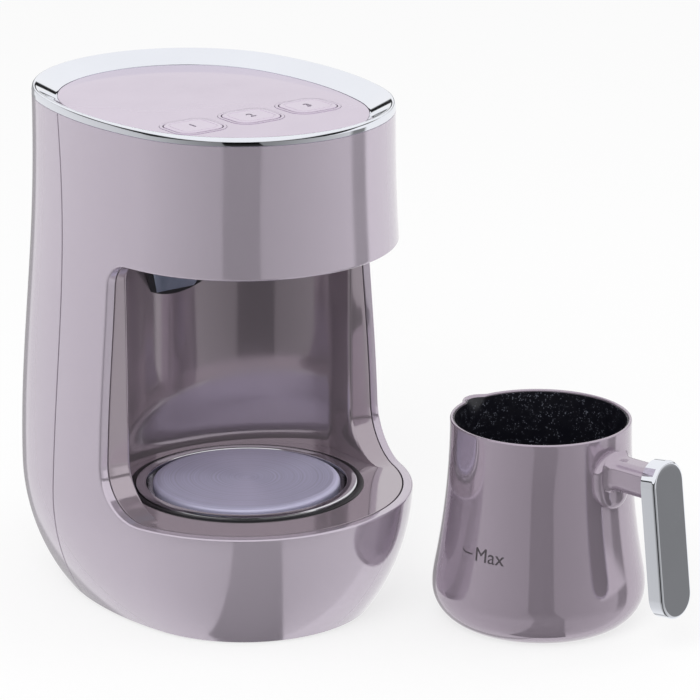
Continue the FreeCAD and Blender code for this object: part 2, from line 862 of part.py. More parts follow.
def mains_fuse():
    spot = vec(capsule_x, power_y - capsule_radius - capsule_gap, power_low + capsule_rise)
    glass = rod(capsule_radius, spot, capsule_length, UP)
    clips = [box((spot.x - capsule_radius, spot.x + capsule_radius), (spot.y, power_y), (z, z + clip_width))
             for z in (spot.z + clip_inset, spot.z + capsule_length - clip_inset - clip_width)]
    return joined([glass] + clips)


def terminal_block():
    width, depth, height = terminal_size
    block = box((-width / 2, width / 2), (terminal_y - depth / 2, terminal_y + depth / 2),
                (base_top + seat_gap, base_top + height))
    for i in (-1, 0, 1):
        start = vec(i * width / 3, terminal_y, base_top + height - terminal_bore_depth)
        block = block.cut(rod(terminal_bore, start, height))
    return block


def cord_gland():
    """Grommet in the rear cover where the mains lead enters."""
    wall_y = half_depth + growth(gland_height)
    neck = rod(gland_radius, vec(0, wall_y - gland_inside, gland_height), gland_inside + gland_outside, BACK)
    disc = rod(gland_flange_radius, vec(0, wall_y - gland_inside, gland_height), 2 * gland_inside, BACK)
    outside = fit_gap / 4
    inside = wall + fit_gap / 4
    flange = disc.common(form(-outside - gland_flange_thickness)).cut(form(-outside))
    collar = disc.common(form(inside)).cut(form(inside + gland_flange_thickness))
    bore = rod(gland_bore, vec(0, 0, gland_height), far, BACK)
    return joined([neck, flange, collar]).cut(bore)


def heater_leads():
    """Two insulated leads from the element's ends to the power board's lower edge."""
    leads = []
    for side in (-1, 1):
        angle = math.radians(90 + side * element_gap_angle / 2)
        x = plate_x + element_radius * math.cos(angle)
        y = plate_y + element_radius * math.sin(angle)
        low = bracket_z - lead_drop
        landing = power_low + 2 * lead_radius
        points = [
            vec(x, y, terminal_z - seat_gap),
            vec(x, y, low),
            vec(x, power_y - lead_standoff, low),
            vec(x, power_y - lead_standoff, landing),
            vec(x, power_y - seat_gap, landing),
        ]
        leads.append(routed_tube(lead_radius, points, 4 * lead_radius))
    return group(leads)


def sensor_board():
    half = sensor_board_size / 2
    board = box((-half, half), (sensor_board_y, sensor_board_y + board_thickness),
                (sensor_z - peep_size, sensor_z + peep_size))
    eye = rod(sensor_eye_radius, vec(0, pocket_back_y + liner_wall / 2, sensor_z),
              sensor_board_gap + liner_wall / 2 + board_thickness / 2, BACK)
    return joined([board, eye])


def panel_ribbon():
    """Flat cable from the control board back and down to the power board."""
    middle = button_pitch / 2
    x = (middle - ribbon_width / 2, middle + ribbon_width / 2)
    start_y = button_y + board_depth / 2 - ribbon_lap
    back_y = power_y - ribbon_standoff
    front_y = back_y - ribbon_thickness
    landing = power_high - ribbon_standoff
    run = box(x, (start_y, back_y), (board_foot - ribbon_thickness, board_foot))
    drop = box(x, (front_y, back_y), (landing, board_foot))
    foot = box(x, (front_y, power_y), (landing - ribbon_thickness, landing))
    return joined([run, drop, foot])


# Pot

def pot_arcs(inset, low, high):
    """Side of the pot, from the floor up: base arc, belly arc and neck arc, moved inwards."""
    rise = pot_height - pot_belly_height
    neck_rise = rise * pot_neck_share
    belly_rise = rise - neck_rise
    slope = 2 * (pot_belly_radius - pot_rim_radius) / rise
    neck_radius = neck_rise / slope
    belly_arc = belly_rise / slope
    swing = pot_belly_radius - pot_base_radius
    base_arc = (swing ** 2 + pot_belly_height ** 2) / (2 * swing)

    def base_point(z):
        drop = pot_belly_height - z
        return pot_belly_radius - (base_arc - math.sqrt(base_arc ** 2 - drop ** 2)) - inset

    def wall_point(z):
        if z <= pot_belly_height + belly_rise:
            lift = z - pot_belly_height
            return pot_belly_radius - (belly_arc - math.sqrt(belly_arc ** 2 - lift ** 2)) - inset
        fall = pot_height - z
        return pot_rim_radius + (neck_radius - math.sqrt(neck_radius ** 2 - fall ** 2)) - inset

    bend = pot_belly_height + belly_rise
    joint = (wall_point(bend - 0.001) + wall_point(bend + 0.001)) / 2

    def at(radius, z):
        return vec(radius, 0, z)

    base = Part.Arc(at(base_point(low), low), at(base_point((low + pot_belly_height) / 2),
                    (low + pot_belly_height) / 2), at(pot_belly_radius - inset, pot_belly_height))
    belly = Part.Arc(at(pot_belly_radius - inset, pot_belly_height),
                     at(wall_point(pot_belly_height + belly_rise / 2), pot_belly_height + belly_rise / 2),
                     at(joint, bend))
    middle = (bend + high) / 2
    neck = Part.Arc(at(joint, bend), at(wall_point(middle), middle), at(wall_point(high), high))
    return [base.toShape(), belly.toShape(), neck.toShape()]


def pot_form(inset, low, high):
    """Solid of revolution of the pot's side, moved inwards by inset, about the pot's own axis."""
    side = pot_arcs(inset, low, high)
    start = side[0].valueAt(side[0].FirstParameter)
    end = side[-1].valueAt(side[-1].LastParameter)
    close = [
        Part.LineSegment(end, vec(0, 0, high)).toShape(),
        Part.LineSegment(vec(0, 0, high), vec(0, 0, low)).toShape(),
        Part.LineSegment(vec(0, 0, low), start).toShape(),
    ]
    return Part.Face(Part.Wire(side + close)).revolve(vec(0, 0, 0), UP, 360)


def spout(inset):
    """Half cone that pulls the rim outwards, opposite the handle."""
    centre_radius = pot_rim_radius + spout_reach - spout_radius
    low = pot_height - spout_depth + inset
    return Part.makeCone(spout_tip_radius, spout_radius - inset, pot_height - low, vec(-centre_radius, 0, low))


def place_pot(shape):
    """From the pot's own frame, handle along +X, to its place beside the machine."""
    turned = shape.copy()
    turned.rotate(vec(0, 0, 0), UP, handle_azimuth)
    turned.translate(vec(pot_x, pot_y, 0))
    return turned


def pot_body():
    outer = joined([pot_form(0, 0, pot_height), spout(0)])
    inner = pot_form(pot_wall, pot_floor, pot_height).fuse(spout(pot_wall))
    return outer.cut(inner)


def pot_lining():
    coat_floor = pot_floor + seat_gap
    top = pot_height - lining_drop
    outer = joined([pot_form(pot_wall + seat_gap, coat_floor, pot_height), spout(pot_wall + seat_gap)])
    inner = pot_form(pot_wall + lining, pot_floor + lining, pot_height).fuse(spout(pot_wall + lining))
    return outer.cut(inner).common(slab(0, top))


def arm_profile(extra):
    """Cross-section box of the arm, along the handle's direction."""
    low = arm_top - arm_height
    bar = box((pot_rim_radius - arm_root, grip_offset + extra), (-arm_width / 2, arm_width / 2), (low, arm_top))
    long_edges = [e for e in bar.Edges if e.BoundBox.XLength > arm_width]
    return bar.makeFillet(arm_round, long_edges)


def wall_pad():
    """Oval pad that follows the pot's wall, where the arm is fixed."""
    half = flange_width / 2
    high = flange_top - half
    low = flange_top - flange_height + half
    pad = joined([
        rod(half, vec(0, 0, high), far, RIGHT),
        rod(half, vec(0, 0, low), far, RIGHT),
        box((0, far), (-half, half), (low, high)),
    ])
    return pad.common(pot_form(-flange_thickness, 0, pot_height))


def handle_arm():
    pot = pot_form(-fit_gap / 4, 0, pot_height)
    arm = joined([arm_profile(0), wall_pad()]).cut(pot)
    bore = rod(bolt_radius + bolt_clearance, vec(0, 0, arm_top - arm_height / 2), far, RIGHT)
    return arm.cut(bore)


def grip_blank(low_face, high_face, inset):
    """Long rounded plate that leans outwards; the faces are distances from its inner side."""
    half = grip_width / 2 - inset
    top = -inset
    foot = -grip_length + inset
    return joined([
        rod(half, vec(low_face, 0, top - half), high_face - low_face, RIGHT),
        rod(half, vec(low_face, 0, foot + half), high_face - low_face, RIGHT),
        box((low_face, high_face), (-half, half), (foot + half, top - half)),
    ])


def lean(shape):
    turned = shape.copy()
    turned.rotate(vec(0, 0, -(grip_top - arm_top + arm_height / 2)), BACK, -grip_lean)
    turned.translate(vec(grip_offset, 0, grip_top))
    return turned


def grip_shell():
    plate = grip_blank(0.0, grip_depth, 0.0)
    outer = [e for e in plate.Edges if e.BoundBox.XMin > grip_depth - 0.01]
    plate = plate.makeFillet(grip_round, outer)
    cavity = grip_blank(-core_depth, core_depth, grip_round)
    head = rod(bolt_head_radius + fit_gap, vec(0, 0, 0), bolt_head_height + core_depth + bolt_recess, RIGHT)
    shell = lean(plate.cut(cavity))
    head.translate(vec(grip_offset, 0, arm_top - arm_height / 2))
    return shell.cut(head).cut(arm_profile(core_depth / 2))


def grip_core():
    core = lean(grip_blank(core_gap, core_depth - seat_gap, grip_round + seat_gap))
    bore = rod(bolt_radius + bolt_clearance, vec(grip_offset - core_depth, 0, arm_top - arm_height / 2), grip_depth, RIGHT)
    return core.cut(bore).cut(arm_profile(socket_gap))


def handle_bolt():
    start = vec(grip_offset + core_depth + bolt_seat, 0, arm_top - arm_height / 2)
    shank_length = min(bolt_length, start.x - pot_belly_radius)
    head = rod(bolt_head_radius, start, bolt_head_height, RIGHT)
    shank = rod(bolt_radius, start - RIGHT * shank_length, shank_length, RIGHT)
    return joined([head, shank])


def sub_parts():
    """Every node of the object by name."""
    parts = {
        "front_housing": front_housing(),
        "rear_cover": rear_cover(),
        "bay_liner": bay_liner(),
        "top_ring": top_ring(),
        "top_panel": top_panel(),
        "control_board": control_board(),
        "board_screws": board_screws(),
        "button_lights": button_lights(),
        "buzzer": buzzer(),
        "panel_ribbon": panel_ribbon(),
        "sensor_frame": sensor_frame_piece(),
        "sensor_window": sensor_window(),
        "sensor_board": sensor_board(),
        "heating_plate": heating_plate(),
        "plate_ring": plate_ring(),
        "plate_seal": plate_seal(),
        "heating_element": heating_element(),
        "heat_shield": heat_shield(),
        "plate_bracket": plate_bracket(),
        "bracket_screws": bracket_screws(),
        "thermostat": thermostat(),
        "thermal_fuse": thermal_fuse(),
        "base_plate": base_plate(),
        "foot_ring": foot_ring(),
        "base_screws": base_screws(),
        "power_board": power_board(),
        "power_screws": power_screws(),
        "relay": relay(),
        "transformer": transformer(),
        "mains_fuse": mains_fuse(),
        "terminal_block": terminal_block(),
        "cord_gland": cord_gland(),
        "heater_leads": heater_leads(),
        "pot_body": place_pot(pot_body()),
        "pot_lining": place_pot(pot_lining()),
        "handle_arm": place_pot(handle_arm()),
        "grip_shell": place_pot(grip_shell()),
        "grip_core": place_pot(grip_core()),
        "handle_bolt": place_pot(handle_bolt()),
    }
    for number, x in enumerate(button_xs, 1):
        parts[f"button_cap_{number}"] = button_cap(x)
        parts[f"button_bezel_{number}"] = button_bezel(x)
        parts[f"tact_switch_{number}"] = tact_switch(x)
        parts[f"switch_key_{number}"] = switch_key(x)
    return parts


os.makedirs("parts", exist_ok=True)
for name, shape in sub_parts().items():
    shape.exportStep(f"parts/{name}.step")
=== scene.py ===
import json
import math

import bmesh
import bpy
from mathutils import Matrix, Vector


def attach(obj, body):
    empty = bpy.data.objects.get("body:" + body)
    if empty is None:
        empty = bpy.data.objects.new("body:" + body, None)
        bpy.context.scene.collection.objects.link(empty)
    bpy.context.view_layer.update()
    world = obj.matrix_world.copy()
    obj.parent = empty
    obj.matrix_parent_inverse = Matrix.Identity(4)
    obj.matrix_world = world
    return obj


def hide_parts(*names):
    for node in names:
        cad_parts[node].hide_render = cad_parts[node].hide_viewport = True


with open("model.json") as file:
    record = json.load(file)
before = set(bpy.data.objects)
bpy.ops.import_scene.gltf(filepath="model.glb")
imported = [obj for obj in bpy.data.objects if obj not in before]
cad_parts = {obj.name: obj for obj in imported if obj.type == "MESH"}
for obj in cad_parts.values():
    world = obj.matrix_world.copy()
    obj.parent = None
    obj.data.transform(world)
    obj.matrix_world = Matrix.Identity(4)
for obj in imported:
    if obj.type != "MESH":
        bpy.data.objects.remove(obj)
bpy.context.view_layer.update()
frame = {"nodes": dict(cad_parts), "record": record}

# Sizes in millimetres, the same as the CAD model's
MM = 0.001
HEAD_WIDTH = 146.0
HEAD_DEPTH = 188.0
END_RADIUS = 70.0
BODY_TOP = 242.0
RING_FOOT = 238.0
SHELL_FOOT = 1.0
WIDEST_HEIGHT = 61.0
FLARE = 8.7
FLARE_HOLD = 1.3
UNDER_RADIUS = 103.0
END_OFFSET = HEAD_DEPTH / 2 - END_RADIUS
HALF_WIDTH = HEAD_WIDTH / 2
SIDE_RADIUS = (HALF_WIDTH ** 2 + END_OFFSET ** 2 - END_RADIUS ** 2) / (2 * (HALF_WIDTH - END_RADIUS))
SIDE_OFFSET = SIDE_RADIUS - HALF_WIDTH
END_ANGLE = math.degrees(math.atan2(SIDE_OFFSET, END_OFFSET))

SEAM_TOP = (19.5, 242.0)
SEAM_WAIST = (13.0, 140.0)
SEAM_FOOT = (23.0, 1.0)
SEAM_GAP = 0.5

WING_FACE_Y = -22.0
DECK_TOP = 58.0
BAY_CEILING = 177.0
DECK_FILLET = 24.0
CEILING_FILLET = 10.0
POCKET_HALF = 62.5
POCKET_RADIUS = 69.0
POCKET_BACK_Y = 33.0
EDGE_WIDTH = 4.5
EDGE_DEPTH = 3.0
LINER_GAP = 0.2
DECK_HOLE_RADIUS = 55.05

BUTTON_XS = (-32.0, 0.0, 32.0)
BUTTON_Y = -31.0
BUTTON_WIDTH = 24.0
BUTTON_DEPTH = 22.0
BUTTON_CORNER = 7.0
CAP_TOP = 236.5
CAP_FOOT = 230.5

PLATE_CENTRE = (0.0, -25.0)
PLATE_TOP = 61.0

POT_PLACE = (98.0, -122.0)
HANDLE_TURN = -80.0
POT_HEIGHT = 97.0
RIM_RADIUS = 42.0
BELLY_RADIUS = 49.8
BELLY_HEIGHT = 16.0
FOOT_RADIUS = 39.0
NECK_SHARE = 0.90
POT_WALL = 1.6
POT_FLOOR = 3.0
BEAK_RADIUS = 9.5
BEAK_HEIGHT = 15.0
BEAK_REACH = 3.5


def placed(name, data):
    """A new object in the scene."""
    holder = bpy.data.objects.new(name, data)
    bpy.context.scene.collection.objects.link(holder)
    return holder


def sine_cosine(degrees):
    return math.sin(math.radians(degrees)), math.cos(math.radians(degrees))


# Camera and stage

def place_camera():
    lens = bpy.data.cameras.new("photo_camera")
    lens.sensor_width = 36
    lens.lens = 197.2
    lens.clip_end = 50
    camera = placed("photo_camera", lens)
    camera.location = (-0.980, -1.4124, 0.6563)
    camera.rotation_euler = (math.radians(90 - 17.429), 0, math.radians(-36.872))
    bpy.context.scene.camera = camera


# The studio that gloss reflects. Bearings are in degrees: 0 behind the machine, 90 on its right.
CAMERA_SIDE = 217
DIM_WALL = 0.20
BRIGHT_WALL = 0.95
RIGHT_BOX = (25, 110)
FAR_EDGE = (6, 25)
FAR_EDGE_STRENGTH = 0.40
NEAR_EDGE = (110, 126)
NEAR_EDGE_STRENGTH = 0.22
PALE_SIDE = (95, 150)
# Dark gap between the soft boxes, about the camera: its bearing, half width and strength, level and low down
GAP_BEARING = (216.5, 207.0)
GAP_HALF_WIDTH = (0.232, 0.26)
GAP_STRENGTH = (0.0, 0.12)
GAP_LEVEL = -0.22
GAP_LOW = -0.41
GAP_END = -0.10


def make_world():
    world = bpy.data.worlds.new("studio")
    bpy.context.scene.world = world
    world.use_nodes = True
    nodes, links = world.node_tree.nodes, world.node_tree.links
    nodes.clear()

    def worked(operation, *values):
        node = nodes.new("ShaderNodeMath")
        node.operation = operation
        for socket, value in zip(node.inputs, values):
            if isinstance(value, (int, float)):
                socket.default_value = value
            else:
                links.new(value, socket)
        return node.outputs[0]

    def ranged(value, start, stop, low=0.0, high=1.0, kind="SMOOTHSTEP"):
        node = nodes.new("ShaderNodeMapRange")
        node.interpolation_type = kind
        node.inputs["From Min"].default_value = start
        node.inputs["From Max"].default_value = stop
        node.inputs["To Min"].default_value = low
        node.inputs["To Max"].default_value = high
        links.new(value, node.inputs["Value"])
        return node.outputs[0]

    def mixed(amount, first, second):
        mix = nodes.new("ShaderNodeMix")
        mix.data_type = "RGBA"
        for socket, value in (("A", first), ("B", second)):
            if isinstance(value, float):
                mix.inputs[socket].default_value = (value, value, value, 1)
            else:
                links.new(value, mix.inputs[socket])
        links.new(amount, mix.inputs["Factor"])
        return mix.outputs["Result"]

    def between(value, edges, soft):
        first, last = edges
        past = ranged(value, first - soft, first + soft)
        return worked("MULTIPLY", past, ranged(value, last + soft, last - soft))

    def light(strength):
        glow = nodes.new("ShaderNodeBackground")
        glow.inputs["Strength"].default_value = strength
        glow.inputs["Color"].default_value = (1, 1, 1, 1)
        return glow

    where = nodes.new("ShaderNodeTexCoord")
    split = nodes.new("ShaderNodeSeparateXYZ")
    links.new(where.outputs["Generated"], split.inputs[0])
    up = split.outputs["Z"]
    turn = worked("ARCTAN2", split.outputs["X"], split.outputs["Y"])
    bearing = worked("MULTIPLY", worked("FRACT", worked("MULTIPLY_ADD", turn, 1 / (2 * math.pi), 1.0)), 360.0)

    from_camera = worked("COSINE", worked("SUBTRACT", turn, math.radians(CAMERA_SIDE)))
    away = worked("POWER", worked("MULTIPLY_ADD", from_camera, -0.5, 0.5), 0.8)
    sides = mixed(away, DIM_WALL, BRIGHT_WALL)
    sides = mixed(between(bearing, FAR_EDGE, 2.5), sides, FAR_EDGE_STRENGTH)
    high_up = ranged(up, -0.55, -0.27)
    sides = mixed(worked("MULTIPLY", between(bearing, NEAR_EDGE, 3.0), high_up), sides, NEAR_EDGE_STRENGTH)
    sides = mixed(between(bearing, RIGHT_BOX, 2.5), sides, BRIGHT_WALL)
    sides = mixed(ranged(up, -0.27, -0.55, 0.0, 0.25), sides, BRIGHT_WALL)

    def by_drop(pair):
        return ranged(up, GAP_LEVEL, GAP_LOW, *pair, kind="LINEAR")

    level_reach = worked("SQRT", worked("SUBTRACT", 1.0, worked("MULTIPLY", up, up)))
    off_gap = worked("SUBTRACT", turn, by_drop([math.radians(b) for b in GAP_BEARING]))
    sideways = worked("ABSOLUTE", worked("MULTIPLY", level_reach, worked("SINE", off_gap)))
    toward = worked("MULTIPLY", level_reach, worked("COSINE", off_gap))
    within = ranged(worked("SUBTRACT", by_drop(GAP_HALF_WIDTH), sideways), -0.009, 0.009)
    in_gap = worked("MULTIPLY", within, ranged(toward, GAP_END - 0.01, GAP_END + 0.01))
    sides = mixed(in_gap, sides, by_drop(GAP_STRENGTH))

    pale_side = worked("MULTIPLY", between(bearing, PALE_SIDE, 1.5), ranged(up, -0.17, -0.13))
    sides = mixed(pale_side, sides, BRIGHT_WALL)
    ceiling = mixed(ranged(up, 0.11, 0.16), sides, 0.97)
    # The dark line that the ring mirrors
    horizon = worked("MULTIPLY", ranged(up, 0.095, 0.11), ranged(up, 0.205, 0.175))
    walls = light(1.0)
    links.new(mixed(horizon, ceiling, 0.02), walls.inputs["Color"])

    path = nodes.new("ShaderNodeLightPath")
    by_gloss = nodes.new("ShaderNodeMixShader")
    links.new(path.outputs["Is Glossy Ray"], by_gloss.inputs[0])
    links.new(light(0.72).outputs[0], by_gloss.inputs[1])
    links.new(walls.outputs[0], by_gloss.inputs[2])
    by_camera = nodes.new("ShaderNodeMixShader")
    links.new(path.outputs["Is Camera Ray"], by_camera.inputs[0])
    links.new(by_gloss.outputs[0], by_camera.inputs[1])
    links.new(light(1.0).outputs[0], by_camera.inputs[2])
    out = nodes.new("ShaderNodeOutputWorld")
    links.new(by_camera.outputs[0], out.inputs["Surface"])


def soft_box(name, place, target, size, power):
    lamp = bpy.data.lights.new(name, "AREA")
    lamp.shape = "SQUARE"
    lamp.size = size
    lamp.energy = power
    holder = placed(name, lamp)
    holder.location = place
    holder.rotation_euler = (Vector(target) - Vector(place)).to_track_quat("-Z", "Y").to_euler()
    holder.visible_glossy = False


def make_floor():
    mesh = bpy.data.meshes.new("floor")
    reach = 6.0
    corners = [(-reach, -reach, 0), (reach, -reach, 0), (reach, reach, 0), (-reach, reach, 0)]
    mesh.from_pydata(corners, [], [(0, 1, 2, 3)])
    floor = placed("floor", mesh)
    paint = bpy.data.materials.new("pale_floor")
    paint.use_nodes = True
    nodes, links = paint.node_tree.nodes, paint.node_tree.links
    nodes.clear()
    matt = nodes.new("ShaderNodeBsdfDiffuse")
    matt.inputs["Color"].default_value = (0.96, 0.96, 0.96, 1)
    glow = nodes.new("ShaderNodeEmission")
    glow.inputs["Color"].default_value = (1, 1, 1, 1)
    path = nodes.new("ShaderNodeLightPath")
    amount = nodes.new("ShaderNodeMath")
    amount.operation = "MULTIPLY"
    amount.inputs[1].default_value = 0.74
    links.new(path.outputs["Is Camera Ray"], amount.inputs[0])
    blend = nodes.new("ShaderNodeMixShader")
    links.new(amount.outputs[0], blend.inputs[0])
    links.new(matt.outputs[0], blend.inputs[1])
    links.new(glow.outputs[0], blend.inputs[2])
    out = nodes.new("ShaderNodeOutputMaterial")
    links.new(blend.outputs[0], out.inputs["Surface"])
    mesh.materials.append(paint)
    floor.visible_glossy = False


# Materials

def new_finish(name):
    """A material with its principled shader and a node for object coordinates."""
    finish = bpy.data.materials.new(name)
    finish.use_nodes = True
    nodes = finish.node_tree.nodes
    shader = nodes["Principled BSDF"]
    where = nodes.new("ShaderNodeTexCoord")
    return finish, nodes, finish.node_tree.links, shader, where.outputs["Object"]


def grain(nodes, links, place, scale, detail=3.0, stretch=None):
    noise = nodes.new("ShaderNodeTexNoise")
    noise.inputs["Scale"].default_value = scale
    noise.inputs["Detail"].default_value = detail
    if stretch:
        mapping = nodes.new("ShaderNodeMapping")
        mapping.inputs["Scale"].default_value = stretch
        links.new(place, mapping.inputs["Vector"])
        place = mapping.outputs[0]
    links.new(place, noise.inputs["Vector"])
    return noise.outputs["Fac"]


def spread(nodes, links, value, low, high, start=0.3, stop=0.7):
    """Maps a noise value to a range."""
    ranged = nodes.new("ShaderNodeMapRange")
    ranged.inputs["From Min"].default_value = start
    ranged.inputs["From Max"].default_value = stop
    ranged.inputs["To Min"].default_value = low
    ranged.inputs["To Max"].default_value = high
    links.new(value, ranged.inputs["Value"])
    return ranged.outputs[0]


def tint(nodes, links, value, dark, light, start=0.3, stop=0.7):
    ramp = nodes.new("ShaderNodeValToRGB")
    ramp.color_ramp.elements[0].position = start
    ramp.color_ramp.elements[0].color = (*dark, 1)
    ramp.color_ramp.elements[1].position = stop
    ramp.color_ramp.elements[1].color = (*light, 1)
    links.new(value, ramp.inputs[0])
    return ramp.outputs["Color"]


def relief(nodes, links, shader, value, distance, strength=1.0):
    bump = nodes.new("ShaderNodeBump")
    bump.inputs["Distance"].default_value = distance
    bump.inputs["Strength"].default_value = strength
    links.new(value, bump.inputs["Height"])
    links.new(bump.outputs[0], shader.inputs["Normal"])


def pearl_gloss(name, colour, metallic=0.62, rough=(0.07, 0.12)):
    """Moulded plastic with a mauve pearl lacquer: faint orange peel, soft colour drift, clear coat."""
    finish, nodes, links, shader, place = new_finish(name)
    drift = grain(nodes, links, place, 9.0, 2.0)
    dark = tuple(c * 0.975 for c in colour)
    light = tuple(min(1.0, c * 1.02) for c in colour)
    links.new(tint(nodes, links, drift, dark, light), shader.inputs["Base Color"])
    shader.inputs["Metallic"].default_value = metallic
    links.new(spread(nodes, links, grain(nodes, links, place, 60.0, 4.0), *rough), shader.inputs["Roughness"])
    shader.inputs["Coat Weight"].default_value = 0.35
    shader.inputs["Coat Roughness"].default_value = 0.03
    relief(nodes, links, shader, grain(nodes, links, place, 420.0, 1.0), 0.000006, 0.35)
    return finish


def polished_chrome(name, colour=(0.86, 0.88, 0.94)):
    finish, nodes, links, shader, place = new_finish(name)
    links.new(tint(nodes, links, grain(nodes, links, place, 30.0), tuple(c * 0.97 for c in colour), colour),
              shader.inputs["Base Color"])
    shader.inputs["Metallic"].default_value = 1.0
    cloud = grain(nodes, links, place, 90.0, 5.0)
    links.new(spread(nodes, links, cloud, 0.03, 0.07), shader.inputs["Roughness"])
    return finish


def turned_metal(name, colour, rough, ring_scale, metallic=1.0):
    """Metal faced on a lathe: fine rings about the plate's centre."""
    finish, nodes, links, shader, place = new_finish(name)
    centring = nodes.new("ShaderNodeMapping")
    centring.inputs["Location"].default_value = (-PLATE_CENTRE[0] * MM, -PLATE_CENTRE[1] * MM, 0)
    centring.inputs["Scale"].default_value = (1, 1, 0)
    links.new(place, centring.inputs["Vector"])
    reach = nodes.new("ShaderNodeVectorMath")
    reach.operation = "LENGTH"
    links.new(centring.outputs[0], reach.inputs[0])
    rings = nodes.new("ShaderNodeTexNoise")
    rings.noise_dimensions = "1D"
    rings.inputs["Scale"].default_value = ring_scale
    rings.inputs["Detail"].default_value = 5.0
    links.new(reach.outputs["Value"], rings.inputs["W"])
    cloud = grain(nodes, links, centring.outputs[0], 26.0, 3.0)
    mixed = nodes.new("ShaderNodeMath")
    mixed.operation = "MULTIPLY_ADD"
    mixed.inputs[1].default_value = 0.7
    links.new(rings.outputs["Fac"], mixed.inputs[0])
    part = nodes.new("ShaderNodeMath")
    part.operation = "MULTIPLY"
    part.inputs[1].default_value = 0.3
    links.new(cloud, part.inputs[0])
    links.new(part.outputs[0], mixed.inputs[2])
    dark = tuple(c * 0.84 for c in colour)
    light = tuple(min(1.0, c * 1.10) for c in colour)
    links.new(tint(nodes, links, mixed.outputs[0], dark, light), shader.inputs["Base Color"])
    shader.inputs["Metallic"].default_value = metallic
    links.new(spread(nodes, links, rings.outputs["Fac"], *rough), shader.inputs["Roughness"])
    shader.inputs["Anisotropic"].default_value = 0.8
    around = nodes.new("ShaderNodeTangent")
    around.direction_type = "RADIAL"
    around.axis = "Z"
    links.new(around.outputs[0], shader.inputs["Tangent"])
    relief(nodes, links, shader, rings.outputs["Fac"], 0.00002, 0.5)
    return finish


def satin_metal(name, colour, rough=(0.28, 0.42), stretch=(1, 1, 12)):
    finish, nodes, links, shader, place = new_finish(name)
    lines = grain(nodes, links, place, 160.0, 4.0, stretch)
    links.new(tint(nodes, links, lines, tuple(c * 0.85 for c in colour), colour), shader.inputs["Base Color"])
    shader.inputs["Metallic"].default_value = 1.0
    links.new(spread(nodes, links, lines, *rough), shader.inputs["Roughness"])
    relief(nodes, links, shader, lines, 0.00001, 0.5)
    return finish


def matt_plastic(name, colour, rough=(0.45, 0.6), grain_scale=900.0):
    """Moulded plastic or rubber with a fine spark-eroded grain."""
    finish, nodes, links, shader, place = new_finish(name)
    cloud = grain(nodes, links, place, 40.0, 3.0)
    links.new(tint(nodes, links, cloud, tuple(c * 0.85 for c in colour), colour), shader.inputs["Base Color"])
    links.new(spread(nodes, links, cloud, *rough), shader.inputs["Roughness"])
    relief(nodes, links, shader, grain(nodes, links, place, grain_scale, 2.0), 0.00004, 0.4)
    return finish


def speckled_coat(name):
    """Black non-stick coat with fine pale specks."""
    finish, nodes, links, shader, place = new_finish(name)
    cells = nodes.new("ShaderNodeTexVoronoi")
    cells.inputs["Scale"].default_value = 1000.0
    links.new(place, cells.inputs["Vector"])
    specks = nodes.new("ShaderNodeMath")
    specks.operation = "LESS_THAN"
    specks.inputs[1].default_value = 0.30
    links.new(cells.outputs["Distance"], specks.inputs[0])
    patchy = spread(nodes, links, grain(nodes, links, place, 300.0, 2.0), 0.0, 1.0, 0.45, 0.62)
    both = nodes.new("ShaderNodeMath")
    both.operation = "MULTIPLY"
    links.new(specks.outputs[0], both.inputs[0])
    links.new(patchy, both.inputs[1])
    links.new(tint(nodes, links, both.outputs[0], (0.006, 0.006, 0.010), (0.16, 0.17, 0.21), 0.0, 1.0),
              shader.inputs["Base Color"])
    links.new(spread(nodes, links, grain(nodes, links, place, 200.0), 0.30, 0.45), shader.inputs["Roughness"])
    relief(nodes, links, shader, grain(nodes, links, place, 700.0, 2.0), 0.00003, 0.5)
    return finish


def smoked_glass(name):
    finish, nodes, links, shader, place = new_finish(name)
    links.new(tint(nodes, links, grain(nodes, links, place, 50.0), (0.20, 0.23, 0.31), (0.25, 0.28, 0.37)),
              shader.inputs["Base Color"])
    links.new(spread(nodes, links, grain(nodes, links, place, 90.0), 0.04, 0.09), shader.inputs["Roughness"])
    shader.inputs["Metallic"].default_value = 0.25
    shader.inputs["Coat Weight"].default_value = 0.6
    return finish


